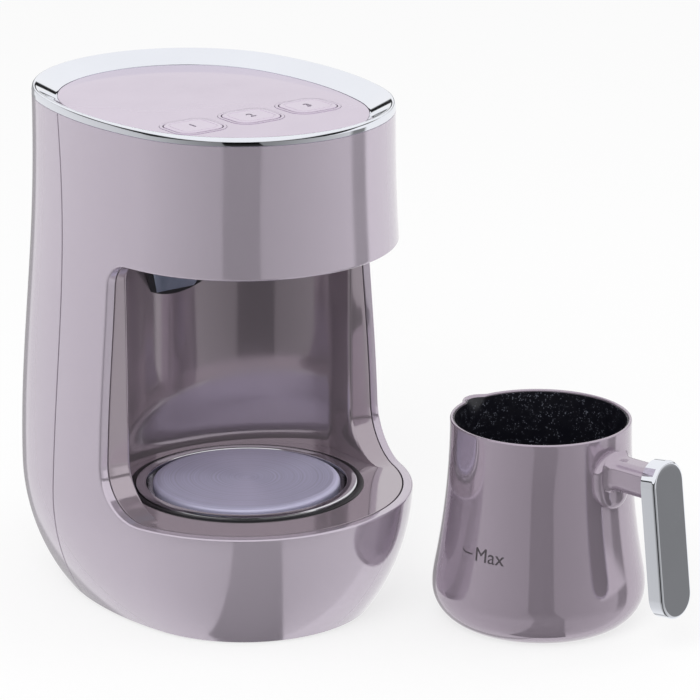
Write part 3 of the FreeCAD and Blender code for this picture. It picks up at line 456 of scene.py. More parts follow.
SHELL = (0.560, 0.497, 0.578)
finishes = {
    "shell_gloss": pearl_gloss("pearl_shell", SHELL),
    # The liner is the shell's mauve made darker: painted shade for the shaded bay.
    "liner_gloss": pearl_gloss("pearl_liner_painted_shade", (0.425, 0.365, 0.410)),
    "panel_gloss": pearl_gloss("pearl_panel", (0.555, 0.460, 0.590), 0.5),
    "button_gloss": pearl_gloss("pearl_button", (0.615, 0.520, 0.650), 0.5),
    "pot_enamel": pearl_gloss("pearl_enamel", (0.425, 0.362, 0.432), 0.60, (0.05, 0.09)),
    "chrome": polished_chrome("polished_chrome"),
    "plate_aluminium": turned_metal("faced_aluminium", (0.58, 0.56, 0.74), (0.38, 0.50), 1000.0, 0.45),
    "steel": turned_metal("polished_steel", (0.72, 0.72, 0.75), (0.08, 0.14), 1500.0),
    "screw_steel": satin_metal("zinc_steel", (0.55, 0.55, 0.56)),
    "seal_rubber": matt_plastic("seal_rubber", (0.008, 0.008, 0.010), (0.35, 0.5)),
    "foot_rubber": matt_plastic("foot_rubber", (0.030, 0.030, 0.030), (0.6, 0.8)),
    "black_plastic": matt_plastic("black_plastic", (0.016, 0.016, 0.018), (0.35, 0.5)),
    "sensor_glass": smoked_glass("smoked_glass"),
    "board": matt_plastic("board_green", (0.03, 0.16, 0.07), (0.35, 0.5)),
    "component": matt_plastic("component_black", (0.02, 0.02, 0.022)),
    "relay_blue": matt_plastic("relay_blue", (0.03, 0.09, 0.35)),
    "core_steel": satin_metal("core_steel", (0.36, 0.36, 0.38), (0.4, 0.55), (1, 1, 30)),
    "ceramic": matt_plastic("white_ceramic", (0.72, 0.71, 0.66), (0.3, 0.5)),
    "fuse_brass": satin_metal("fuse_brass", (0.68, 0.50, 0.22)),
    "lead_red": matt_plastic("lead_red", (0.38, 0.03, 0.025)),
    "ribbon": matt_plastic("ribbon_grey", (0.52, 0.52, 0.54)),
    "light_lens": matt_plastic("light_lens", (0.80, 0.80, 0.78), (0.1, 0.2)),
    "pot_nonstick": speckled_coat("speckled_coat"),
    "grip_core": matt_plastic("grip_core", (0.035, 0.032, 0.035)),
}
polished_edge = polished_chrome("polished_edge", (0.80, 0.80, 0.83))
# Near-black for the trim ring's inner wall and underside: painted shade in the gap between the trim and the
# heating plate.
painted_gap_shade = matt_plastic("painted_gap_shade", (0.006, 0.006, 0.007))
mark_ink = matt_plastic("mark_ink", (0.06, 0.05, 0.06), (0.3, 0.45))
# Darker lilac for the digits, which are print, and for the groove in each cap's top, where it is painted
# shade.
button_print_and_groove_shade = matt_plastic("button_print_and_groove_shade", (0.22, 0.19, 0.24), (0.3, 0.45))


# Mesh building

class Skin:
    """Patches of quads in millimetres that become one piece."""

    def __init__(self):
        self.points = []
        self.faces = []
        self.kinds = []

    def patch(self, rows, around=False, kind=0):
        """Quads between rows of equal length; around joins the ends of each row."""
        width = len(rows[0])
        first = len(self.points)
        for row in rows:
            self.points.extend(row)
        for i in range(len(rows) - 1):
            for j in range(width if around else width - 1):
                a = first + i * width + j
                b = first + i * width + (j + 1) % width
                self.faces.append((a, b, b + width, a + width))
                self.kinds.append(kind)

    def cover(self, ring, kind=0):
        """One flat face over a closed ring."""
        first = len(self.points)
        self.points.extend(ring)
        self.faces.append(tuple(range(first, first + len(ring))))
        self.kinds.append(kind)

    def fan(self, ring, tip, kind=0):
        first = len(self.points)
        self.points.extend(ring)
        self.points.append(tip)
        last = first + len(ring)
        for i in range(len(ring)):
            self.faces.append((first + i, first + (i + 1) % len(ring), last))
            self.kinds.append(kind)

    def fill(self, loops, kind=0):
        """Triangles over a flat region between an outer loop and its holes."""
        sheet = bmesh.new()
        edges = []
        for loop in loops:
            corners = [sheet.verts.new(p) for p in loop]
            edges += [sheet.edges.new((a, b)) for a, b in zip(corners, corners[1:] + corners[:1])]
        bmesh.ops.triangle_fill(sheet, edges=edges, use_beauty=True, use_dissolve=False)
        sheet.verts.index_update()
        first = len(self.points)
        self.points.extend(tuple(v.co) for v in sheet.verts)
        for face in sheet.faces:
            self.faces.append(tuple(first + v.index for v in face.verts))
            self.kinds.append(kind)
        sheet.free()

    def mesh(self, name, weld=0.02, centre=None, inward=False):
        """Welded mesh in metres; an open skin faces away from centre, or towards it."""
        mesh = bpy.data.meshes.new(name)
        mesh.from_pydata([tuple(c * MM for c in p) for p in self.points], [], self.faces)
        mesh.polygons.foreach_set("material_index", self.kinds)
        work = bmesh.new()
        work.from_mesh(mesh)
        bmesh.ops.remove_doubles(work, verts=work.verts, dist=weld * MM)
        bmesh.ops.dissolve_degenerate(work, edges=work.edges, dist=0.001 * MM)
        bmesh.ops.recalc_face_normals(work, faces=work.faces)
        if centre is not None:
            middle = Vector(centre) * MM
            outness = sum((f.calc_center_median() - middle).dot(f.normal) * f.calc_area() for f in work.faces)
            if (outness < 0) != inward:
                bmesh.ops.reverse_faces(work, faces=work.faces)
        work.to_mesh(mesh)
        work.free()
        return mesh


def shade(mesh):
    mesh.polygons.foreach_set("use_smooth", [True] * len(mesh.polygons))
    mesh.set_sharp_from_angle(angle=math.radians(32.0))
    mesh.update()


def plain_mesh(piece):
    """The piece's mesh with its modifiers applied."""
    bpy.context.view_layer.update()
    return bpy.data.meshes.new_from_object(piece.evaluated_get(bpy.context.evaluated_depsgraph_get()))


def make_plain(piece):
    plain = plain_mesh(piece)
    piece.modifiers.clear()
    piece.data = plain


def finish_piece(name, mesh, body, slot, stands_for=(), materials=None, wall=0.0, bevel=0.0, bevel_angle=34.0,
                 weighted=True):
    """Turns a mesh into a named piece: wall, softened edges, smooth shading, finish and body."""
    piece = placed(name, mesh)
    if wall:
        thick = piece.modifiers.new("wall", "SOLIDIFY")
        thick.thickness = wall * MM
        thick.offset = -1
        thick.use_even_offset = True
    if bevel:
        soft = piece.modifiers.new("soft_edges", "BEVEL")
        soft.width = bevel * MM
        soft.segments = 3
        soft.limit_method = "ANGLE"
        soft.angle_limit = math.radians(bevel_angle)
        soft.miter_outer = "MITER_ARC"
    if wall or bevel:
        make_plain(piece)
    shade(piece.data)
    if weighted:
        even = piece.modifiers.new("even_normals", "WEIGHTED_NORMAL")
        even.keep_sharp = True
        even.weight = 50
        make_plain(piece)
    piece.data.name = name
    piece.data.materials.clear()
    for material in materials or [finishes[slot]]:
        piece.data.materials.append(material)
    if stands_for:
        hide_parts(*stands_for)
    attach(piece, body)
    return piece


# The oval form

def growth(z):
    """How far the body's outline at height z lies outside the head's outline."""
    if z >= WIDEST_HEIGHT:
        share = (z - WIDEST_HEIGHT) / (BODY_TOP - WIDEST_HEIGHT)
        return FLARE * max(0.0, (1 + math.cos(math.pi * share)) / 2) ** FLARE_HOLD
    drop = WIDEST_HEIGHT - z
    return FLARE - (UNDER_RADIUS - math.sqrt(UNDER_RADIUS ** 2 - drop ** 2))


def outline(angle, outset):
    """Point of the oval whose outward direction turns from the front (0) over the right side (90)."""
    a = math.radians(angle)
    toward = (math.sin(a), -math.cos(a))
    folded = abs((angle + 180) % 360 - 180)
    if folded <= END_ANGLE:
        centre, radius = (0.0, -END_OFFSET), END_RADIUS
    elif folded >= 180 - END_ANGLE:
        centre, radius = (0.0, END_OFFSET), END_RADIUS
    else:
        centre, radius = (-SIDE_OFFSET if toward[0] > 0 else SIDE_OFFSET, 0.0), SIDE_RADIUS
    return centre[0] + (radius + outset) * toward[0], centre[1] + (radius + outset) * toward[1]


def angle_at(y, outset):
    """Direction of the oval's right-hand point at depth y."""
    bend = END_OFFSET + (END_RADIUS + outset) * math.cos(math.radians(END_ANGLE))
    if y < -bend:
        return math.degrees(math.acos(-(y + END_OFFSET) / (END_RADIUS + outset)))
    return math.degrees(math.acos(-y / (SIDE_RADIUS + outset)))


def seam_y(z):
    """Depth of the curved seam at height z: the arc through its top, waist and foot."""
    (y1, z1), (y2, z2), (y3, z3) = SEAM_TOP, SEAM_WAIST, SEAM_FOOT
    d = 2 * (y1 * (z2 - z3) + y2 * (z3 - z1) + y3 * (z1 - z2))
    s1, s2, s3 = y1 * y1 + z1 * z1, y2 * y2 + z2 * z2, y3 * y3 + z3 * z3
    cy = (s1 * (z2 - z3) + s2 * (z3 - z1) + s3 * (z1 - z2)) / d
    cz = (s1 * (y3 - y2) + s2 * (y1 - y3) + s3 * (y2 - y1)) / d
    radius = math.hypot(y1 - cy, z1 - cz)
    return cy - math.sqrt(radius ** 2 - (z - cz) ** 2)


def steps(start, stop, count):
    return [start + (stop - start) * i / count for i in range(count + 1)]


def wing_stations():
    """The bay's edge from the side, from the deck up to the head: y, z and the way into the body."""
    stations = []
    for a in steps(0, 90, 12):
        s, c = sine_cosine(a)
        stations.append((WING_FACE_Y - DECK_FILLET * (1 - s), DECK_TOP + DECK_FILLET * (1 - c), s, -c))
    for z in steps(DECK_TOP + DECK_FILLET, BAY_CEILING - CEILING_FILLET, 12)[1:-1]:
        stations.append((WING_FACE_Y, z, 1.0, 0.0))
    for a in steps(0, 90, 7):
        s, c = sine_cosine(a)
        y, z = WING_FACE_Y - CEILING_FILLET * (1 - c), BAY_CEILING - CEILING_FILLET * (1 - s)
        stations.append((y, z, c, s))
    return stations


STATIONS = wing_stations()
FRONT_SHARES = steps(-1, 1, 64)


def station_angle(station, inset, depth):
    y, z, into_y, into_z = station
    high = z + depth * into_z
    return angle_at(y + depth * into_y, growth(high) - inset), high


def station_point(station, inset, depth, side):
    angle, high = station_angle(station, inset, depth)
    x, y = outline(angle, growth(high) - inset)
    return side * x, y, high


def front_row(station, inset, depth):
    """Row from left to right across the front, at the deck or at the head's underside."""
    angle, high = station_angle(station, inset, depth)
    return [(*outline(angle * share, growth(high) - inset), high) for share in FRONT_SHARES]


def bay_loop(inset, depth):
    """Closed loop round the bay: deck, right wing, head, left wing."""
    loop = front_row(STATIONS[0], inset, depth)
    loop += [station_point(s, inset, depth, 1) for s in STATIONS[1:-1]]
    loop += front_row(STATIONS[-1], inset, depth)[::-1]
    loop += [station_point(s, inset, depth, -1) for s in STATIONS[-2:0:-1]]
    return loop


EDGE_ROUND = 1.1


def make_front_housing():
    skin = Skin()
    bottom, bottom_z = station_angle(STATIONS[0], 0, EDGE_ROUND)
    top, top_z = station_angle(STATIONS[-1], 0, EDGE_ROUND)
    starts = [(bottom, z) for z in steps(SHELL_FOOT, bottom_z, 22)[:-1]]
    starts += [station_angle(s, 0, EDGE_ROUND) for s in STATIONS]
    starts += [(top, z) for z in steps(top_z, RING_FOOT, 14)[1:]]
    for side in (1, -1):
        rows = []
        for angle, z in starts:
            end = angle_at(seam_y(z), growth(z))
            row = [outline(a, growth(z)) for a in steps(angle, end, 24)]
            rows.append([(side * x, y, z) for x, y in row])
        skin.patch(rows)
    for angle, heights in ((bottom, steps(SHELL_FOOT, bottom_z, 22)), (top, steps(top_z, RING_FOOT, 14))):
        skin.patch([[(*outline(angle * share, growth(z)), z) for share in FRONT_SHARES] for z in heights])
    skin.patch([bay_loop(*p) for p in (
        (0, EDGE_ROUND), (0.08, 0.68), (0.32, 0.32), (0.68, 0.08), (EDGE_ROUND, 0), (EDGE_WIDTH - 0.4, 0),
        (EDGE_WIDTH - 0.12, 0.12), (EDGE_WIDTH, 0.4), (EDGE_WIDTH, EDGE_DEPTH))], around=True)
    mesh = skin.mesh("front_housing", centre=(0, 0, 120))
    finish_piece("housing_front", mesh, "machine", "shell_gloss", ["front_housing"], wall=1.2, bevel=0.35,
                 bevel_angle=55)


def make_rear_cover():
    skin = Skin()
    rows = []
    for z in steps(SHELL_FOOT, RING_FOOT, 56):
        start = angle_at(seam_y(z) + SEAM_GAP + 0.45, growth(z))
        rows.append([(*outline(a, growth(z)), z) for a in steps(start, 360 - start, 110)])
    skin.patch(rows)
    mesh = skin.mesh("rear_cover", centre=(0, 0, 120))
    finish_piece("cover_rear", mesh, "machine", "shell_gloss", ["rear_cover"], wall=1.2, bevel=0.35,
                 bevel_angle=55)


def make_bay_liner():
    skin = Skin()
    inset = EDGE_WIDTH + LINER_GAP + 0.3
    round_in = 0.35
    centre_y = POCKET_BACK_Y - POCKET_RADIUS
    corner = math.degrees(math.asin(POCKET_HALF / POCKET_RADIUS))
    corner_y = centre_y + math.sqrt(POCKET_RADIUS ** 2 - POCKET_HALF ** 2)
    rows = []
    for station in STATIONS:
        y, z, into_y, into_z = station
        soft = 2.2 * max(0.02, abs(into_y)) ** 1.5
        x_out = station_point(station, inset + round_in, 0, 1)[0]
        half = [(x, y, z) for x in steps(x_out, POCKET_HALF + soft, 3)]
        for a in steps(0, 90, 5)[1:]:
            s, c = sine_cosine(a)
            half.append((POCKET_HALF + soft * (1 - s), y + soft * (1 - c), z))
        half += [(POCKET_HALF, t, z) for t in steps(y + soft, corner_y, 6)[1:]]
        for a in steps(corner, 0, 44)[1:]:
            s, c = sine_cosine(a)
            half.append((POCKET_RADIUS * s, centre_y + POCKET_RADIUS * c, z))
        rows.append(half + [(-px, py, pz) for px, py, pz in half[-2::-1]])
    skin.patch(rows)
    hole = turned([(DECK_HOLE_RADIUS, DECK_TOP)])[0]
    deck = front_row(STATIONS[0], inset + round_in, 0)
    skin.fill([deck + rows[0][1:-1], hole])
    head = front_row(STATIONS[-1], inset + round_in, 0)
    skin.fill([head + rows[-1][1:-1]])
    rim = ((inset + round_in, 0), (inset + 0.1, 0.1), (inset, round_in), (inset, EDGE_DEPTH + 2))
    skin.patch([bay_loop(*p) for p in rim], around=True)
    mesh = skin.mesh("bay_liner", centre=(0, -60, 118), inward=True)
    # The liner's darker mauve is painted shade for the bay.
    finish_piece("liner_bay", mesh, "machine", "liner_gloss", ["bay_liner"], wall=1.0)


def swept_oval(profile, columns=168):
    """Rows of a closed profile of (outset, height) carried round the head's oval."""
    return [[(*outline(a, outset), z) for a in steps(0, 360, columns)[:-1]] for outset, z in profile]


def make_top_ring():
    profile = [(-0.3, RING_FOOT), (-0.02, RING_FOOT + 0.3), (0.0, RING_FOOT + 0.5), (0.0, RING_FOOT + 2.0),
               (-0.03, RING_FOOT + 2.15), (-0.22, RING_FOOT + 3.0)]
    bend = 0.9
    for a in steps(28, 90, 8):
        s, c = sine_cosine(a)
        profile.append((-0.29 - bend + bend * c, BODY_TOP - bend + bend * s))
    profile += [(-2.1, BODY_TOP - 0.12), (-11.2, 236.65), (-11.7, 236.2), (-11.8, 235.6), (-11.8, 233.18),
                (-14.8, 233.18), (-14.8, 230.98), (-2.8, 230.98), (-2.8, RING_FOOT)]
    skin = Skin()
    skin.patch(swept_oval(profile + profile[:1]), around=True)
    finish_piece("ring_top", skin.mesh("top_ring"), "machine", "chrome", ["top_ring"])


def rounded_square(width, depth, corner, centre, count=9):
    points = []
    for sx, sy, start in ((1, 1, 0), (-1, 1, 90), (-1, -1, 180), (1, -1, 270)):
        for a in steps(start, start + 90, count):
            s, c = sine_cosine(a)
            points.append((centre[0] + sx * (width / 2 - corner) + corner * c,
                           centre[1] + sy * (depth / 2 - corner) + corner * s))
    return points


def square_rows(profile, x):
    """Rows of (outset, height) round a button."""
    return [[(px, py, z) for px, py in rounded_square(BUTTON_WIDTH + 2 * o, BUTTON_DEPTH + 2 * o,
                                                      BUTTON_CORNER + o, (x, BUTTON_Y))] for o, z in profile]


def raised_text(words, size, depth):
    """Mesh of plain lettering, centred, lying in the XY plane with its face at +depth."""
    curve = bpy.data.curves.new("lettering", "FONT")
    curve.body = words
    curve.size = size
    curve.extrude = depth / 2
    curve.align_x = "CENTER"
    curve.align_y = "CENTER"
    curve.resolution_u = 4
    holder = placed("lettering", curve)
    mesh = plain_mesh(holder)
    bpy.data.objects.remove(holder)
    return mesh


def make_buttons():
    for number, x in enumerate(BUTTON_XS, 1):
        cap = Skin()
        rows = square_rows([(0, CAP_FOOT), (0, CAP_TOP - 0.5), (-0.1, CAP_TOP - 0.2), (-0.35, CAP_TOP - 0.04),
                            (-0.8, CAP_TOP), (-2.2, CAP_TOP), (-2.3, CAP_TOP - 0.15), (-2.8, CAP_TOP - 0.15),
                            (-2.9, CAP_TOP), (-4.5, CAP_TOP)], x)
        cap.patch(rows[:6], around=True)
        # The groove inside the cap's top takes the darker lilac: painted shade in the groove.
        cap.patch(rows[5:9], around=True, kind=1)
        cap.patch(rows[8:], around=True)
        cap.cover(rows[-1])
        cap.cover(rows[0][::-1])
        finish_piece(f"cap_{number}", cap.mesh("cap"), f"button_{number}", "button_gloss",
                     [f"button_cap_{number}"], [finishes["button_gloss"], button_print_and_groove_shade])
        bezel = Skin()
        low, high = 234.62, 236.25
        profile = [(0.3, low), (0.3, high - 0.25), (0.42, high - 0.05), (0.6, high), (1.6, high),
                   (1.8, high - 0.06), (1.9, high - 0.3), (1.9, low)]
        rows = square_rows(profile + profile[:1], x)
        bezel.patch(rows, around=True)
        finish_piece(f"bezel_{number}", bezel.mesh("bezel"), "machine", "panel_gloss",
                     [f"button_bezel_{number}"])
        digit = raised_text(str(number), 7.0 * MM, 0.2 * MM)
        digit.transform(Matrix.Translation((x * MM, BUTTON_Y * MM, (CAP_TOP + 0.06) * MM)))
        finish_piece(f"digit_{number}", digit, f"button_{number}", "button_gloss", materials=[button_print_and_groove_shade],
                     weighted=False)


# Heating plate

def turned(profile):
    """Rows of a profile of (radius, height) turned about the plate's upright axis."""
    return [[(PLATE_CENTRE[0] + r * math.cos(t), PLATE_CENTRE[1] + r * math.sin(t), z)
             for t in steps(0, 2 * math.pi, 128)[:-1]] for r, z in profile]


def turned_piece(name, profile, slot, node, materials=None, kinds=None, closed=True):
    skin = Skin()
    rows = turned(profile)
    for i in range(len(rows) - 1):
        skin.patch(rows[i:i + 2], around=True, kind=kinds[i] if kinds else 0)
    if closed:
        skin.patch([rows[-1], rows[0]], around=True, kind=kinds[-1] if kinds else 0)
    else:
        skin.fan(rows[0], (*PLATE_CENTRE, profile[0][1]), kind=kinds[0] if kinds else 0)
        skin.fan(rows[-1], (*PLATE_CENTRE, profile[-1][1]), kind=kinds[-1] if kinds else 0)
    finish_piece(name, skin.mesh(name), "machine", slot, [node], materials)


def make_plate():
    plate = [(6, PLATE_TOP), (20, PLATE_TOP), (40.4, PLATE_TOP), (40.8, PLATE_TOP - 0.06), (42.6, 60.42),
             (43.5, 59.9), (43.9, 59.2), (44.0, 58.3), (44.0, 56.2), (43.8, 56.0), (10, 56.0)]
    turned_piece("plate_hot", plate, "plate_aluminium", "heating_plate",
                 [finishes["plate_aluminium"], polished_edge], [0, 0] + [1] * 9, closed=False)
    trim = [(46.8, 45.82), (46.8, 57.6), (46.8, 58.6), (47.15, 59.25), (47.8, 59.55), (49.4, 59.6),
            (51.1, 59.5), (51.8, 59.1), (52.0, 58.4), (52.0, 57.8), (47.6, 57.6), (47.6, 46.6), (39.8, 46.6),
            (39.8, 45.82)]
    # The trim's inner wall and underside take the near-black finish: painted shade in the gap by the plate.
    turned_piece("trim_plate", trim, "steel", "plate_ring", [finishes["steel"], painted_gap_shade],
                 [1, 1] + [0] * 8 + [1] * 4)
    seal = [(52.02, 52.6), (52.02, 57.9), (52.3, 58.4), (52.9, 58.6), (54.2, 58.6), (54.8, 58.4),
            (55.0, 57.9), (55.0, 52.6)]
    turned_piece("seal_plate", seal, "seal_rubber", "plate_seal")


# Pot

def pot_radius(z):
    """Outer radius of the pot's wall at height z."""
    rise = POT_HEIGHT - BELLY_HEIGHT
    neck_rise = rise * NECK_SHARE
    belly_rise = rise - neck_rise
    slope = 2 * (BELLY_RADIUS - RIM_RADIUS) / rise
    neck, belly = neck_rise / slope, belly_rise / slope
    swing = BELLY_RADIUS - FOOT_RADIUS
    base = (swing ** 2 + BELLY_HEIGHT ** 2) / (2 * swing)
    if z < BELLY_HEIGHT:
        return BELLY_RADIUS - (base - math.sqrt(base ** 2 - (BELLY_HEIGHT - z) ** 2))
    if z <= BELLY_HEIGHT + belly_rise:
        return BELLY_RADIUS - (belly - math.sqrt(belly ** 2 - (z - BELLY_HEIGHT) ** 2))
    return RIM_RADIUS + (neck - math.sqrt(neck ** 2 - (POT_HEIGHT - z) ** 2))


def with_spout(radius, z, away, inset):
    """Radius at a plan angle away from the spout's middle: the wall or the beak, softly joined."""
    beak = (BEAK_RADIUS - inset) * (z - (POT_HEIGHT - BEAK_HEIGHT + inset)) / (BEAK_HEIGHT - inset)
    reach = RIM_RADIUS + BEAK_REACH - BEAK_RADIUS
    across = reach * math.sin(away)
    if beak <= 0 or math.cos(away) <= 0 or abs(across) >= beak:
        return radius
    tip = reach * math.cos(away) + math.sqrt(beak ** 2 - across ** 2)
    soft = 2.0
    gap = max(0.0, soft - abs(tip - radius)) / soft
    return max(tip, radius) + gap * gap * soft * 0.25


def pot_angles():
    """Plan angles round the pot, closer together at the spout, which is opposite the handle (0)."""
    near = steps(math.pi - 0.34, math.pi + 0.34, 40)
    return steps(-math.pi + 0.34, math.pi - 0.34, 120)[:-1] + near[:-1]


def pot_row(z, inset, radius=None):
    turn = math.radians(HANDLE_TURN)
    row = []
    for a in pot_angles():
        r = with_spout(pot_radius(z) - inset, z, a - math.pi, inset) if radius is None else radius
        row.append((POT_PLACE[0] + r * math.cos(a + turn), POT_PLACE[1] + r * math.sin(a + turn), z))
    return row


def make_pot():
    skin = Skin()
    rim = 0.8
    rows = [pot_row(0.0, 0, 20), pot_row(0.0, 0, FOOT_RADIUS - 1.2), pot_row(0.35, 0.35), pot_row(1.0, 0.05)]
    rows += [pot_row(z, 0) for z in steps(2.5, POT_HEIGHT - rim, 54)]
    for a in steps(0, 180, 8)[1:]:
        s, c = sine_cosine(a)
        rows.append(pot_row(POT_HEIGHT - rim + rim * s, rim - rim * c))
    rows += [pot_row(z, POT_WALL) for z in steps(POT_HEIGHT - rim - 1, POT_FLOOR + 3, 40)]
    rows += [pot_row(POT_FLOOR, 0, 34), pot_row(POT_FLOOR, 0, 12)]
    skin.patch(rows, around=True)
    skin.cover(rows[0][::-1])
    skin.cover(rows[-1])
    finish_piece("pot_wall", skin.mesh("pot"), "pot", "pot_enamel", ["pot_body"])
    coat = Skin()
    low = POT_FLOOR + 0.02
    inner = POT_WALL + 0.5
    outer = POT_WALL + 0.02
    rows = [pot_row(POT_HEIGHT - 1.0, outer), pot_row(POT_HEIGHT - 1.0, inner)]
    rows += [pot_row(z, inner) for z in steps(POT_HEIGHT - 2.2, POT_FLOOR + 5, 44)]
    rows += [pot_row(POT_FLOOR + 2.0, inner + 1.2), pot_row(low + 0.6, inner + 3.4)]
    rows += [pot_row(low + 0.5, 0, 30), pot_row(low + 0.5, 0, 10)]
    coat.patch(rows, around=True)
    coat.cover(rows[-1])
    under = [pot_row(POT_HEIGHT - 1.0, outer)]
    under += [pot_row(z, outer) for z in steps(POT_HEIGHT - 6, low + 3, 12)]
    under += [pot_row(low, 0, 34), pot_row(low, 0, 12)]
    coat.patch(under, around=True)
    coat.cover(under[-1][::-1])
    finish_piece("pot_coat", coat.mesh("coat"), "pot", "pot_nonstick", ["pot_lining"])


def to_pot(points):
    """From the pot's own frame, handle along +X, to its place."""
    turn = math.radians(HANDLE_TURN)
    c, s = math.cos(turn), math.sin(turn)
    return [(POT_PLACE[0] + x * c - y * s, POT_PLACE[1] + x * s + y * c, z) for x, y, z in points]


ARM_TOP = 88.0
ARM_HEIGHT = 14.5
ARM_WIDTH = 15.0
ARM_ROUND = 4.5
GRIP_OFFSET = 68.0
GRIP_TOP = 92.0
GRIP_WIDTH = 21.5
GRIP_LENGTH = 74.0
GRIP_DEPTH = 8.0
GRIP_LEAN = 6.8


def arm_section(x, grow):
    middle = ARM_TOP - ARM_HEIGHT / 2
    ring = rounded_square(ARM_WIDTH + 2 * grow, ARM_HEIGHT + 2 * grow, ARM_ROUND + grow, (0, middle), 8)
    return to_pot([(x, y, z) for y, z in ring])


def make_arm():
    skin = Skin()
    sections = [(GRIP_OFFSET + 1.0, 0)] + [(x, 0) for x in (GRIP_OFFSET - 1, 60.0, 52.0)]
    sections += [(49.5, 0.08), (48.2, 0.35), (47.3, 0.8), (46.7, 1.4), (45.8, 2.4)]
    rows = [arm_section(x, g) for x, g in sections]
    skin.patch(rows, around=True)
    skin.cover(rows[0])
    skin.cover(rows[-1][::-1])
    finish_piece("arm_bar", skin.mesh("arm"), "pot", "pot_enamel")
    pad = Skin()
    half, top, low = 11.5, 90.0, 63.0
    rows = []
    for inset, lift in ((0, 0.05), (0, 1.2), (0.2, 2.1), (0.7, 2.9), (1.5, 3.5), (2.6, 3.9), (3.8, 4.0),
                        (7, 4.0), (10.6, 4.0)):
        ring = rounded_square(2 * (half - inset), top - low - 2 * inset, half - inset - 0.001,
                              (0, (top + low) / 2), 12)
        rows.append(to_pot([(math.sqrt(max(0, pot_radius(z) ** 2 - y * y)) + lift, y, z) for y, z in ring]))
    pad.patch(rows, around=True)
    pad.cover(rows[-1])
    finish_piece("arm_pad", pad.mesh("pad", centre=(98, -122, 70)), "pot", "pot_enamel", ["handle_arm"])


def grip_row(level, inset):
    """Ring of the leaning grip at a distance from its inner face."""
    half = GRIP_WIDTH / 2 - inset
    ring = rounded_square(2 * half, GRIP_LENGTH - 2 * inset, half - 0.001, (0, -GRIP_LENGTH / 2), 14)
    pivot = -(GRIP_TOP - ARM_TOP + ARM_HEIGHT / 2)
    c, s = math.cos(math.radians(-GRIP_LEAN)), math.sin(math.radians(-GRIP_LEAN))
    points = []
    for y, z in ring:
        down = z - pivot
        points.append((GRIP_OFFSET + level * c + down * s, y, GRIP_TOP + pivot - level * s + down * c))
    return to_pot(points)


def make_grip():
    skin = Skin()
    rows = [grip_row(2.2, 1.8), grip_row(0.25, 1.8), grip_row(0.0, 1.55), grip_row(0.0, 0.3)]
    rows.append(grip_row(0.3, 0.0))
    bend = 1.5
    rows.append(grip_row(GRIP_DEPTH - bend, 0.0))
    for a in steps(0, 90, 6)[1:]:
        s, c = sine_cosine(a)
        rows.append(grip_row(GRIP_DEPTH - bend + bend * s, bend - bend * c))
    rows.append(grip_row(GRIP_DEPTH, 4.0))
    skin.patch(rows, around=True)
    skin.cover(rows[-1])
    skin.cover(rows[0][::-1])
    finish_piece("grip_chrome", skin.mesh("grip"), "pot", "chrome", ["grip_shell"])


def make_level_mark():
    """Plain level word and pointer on the pot's wall."""
    word = raised_text("Max", 9.2 * MM, 0.1 * MM)
    pointer = Skin()
    stroke = [(x, -0.6) for x in steps(-9.2, -13.2, 8)]
    stroke += [(-14.2, -0.45), (-15.0, 0.0), (-15.5, 0.7), (-15.6, 1.6)]
    pointer.patch([[(x, y + lift, 0.06) for x, y in stroke] for lift in (0.0, 0.6)])
    arrow = pointer.mesh("arrow")
    base_angle = math.radians(90 + 110.5)
    for mesh in (word, arrow):
        for v in mesh.vertices:
            z = 42.0 + v.co.y / MM
            r = pot_radius(z) + 0.07 + v.co.z / MM * 0.5
            a = base_angle + v.co.x / MM / r
            v.co = (MM * (POT_PLACE[0] + r * math.cos(a)), MM * (POT_PLACE[1] + r * math.sin(a)), MM * z)
    finish_piece("mark_word", word, "pot", "pot_enamel", materials=[mark_ink], weighted=False)
    finish_piece("mark_pointer", arrow, "pot", "pot_enamel", materials=[mark_ink], weighted=False)


# Screws

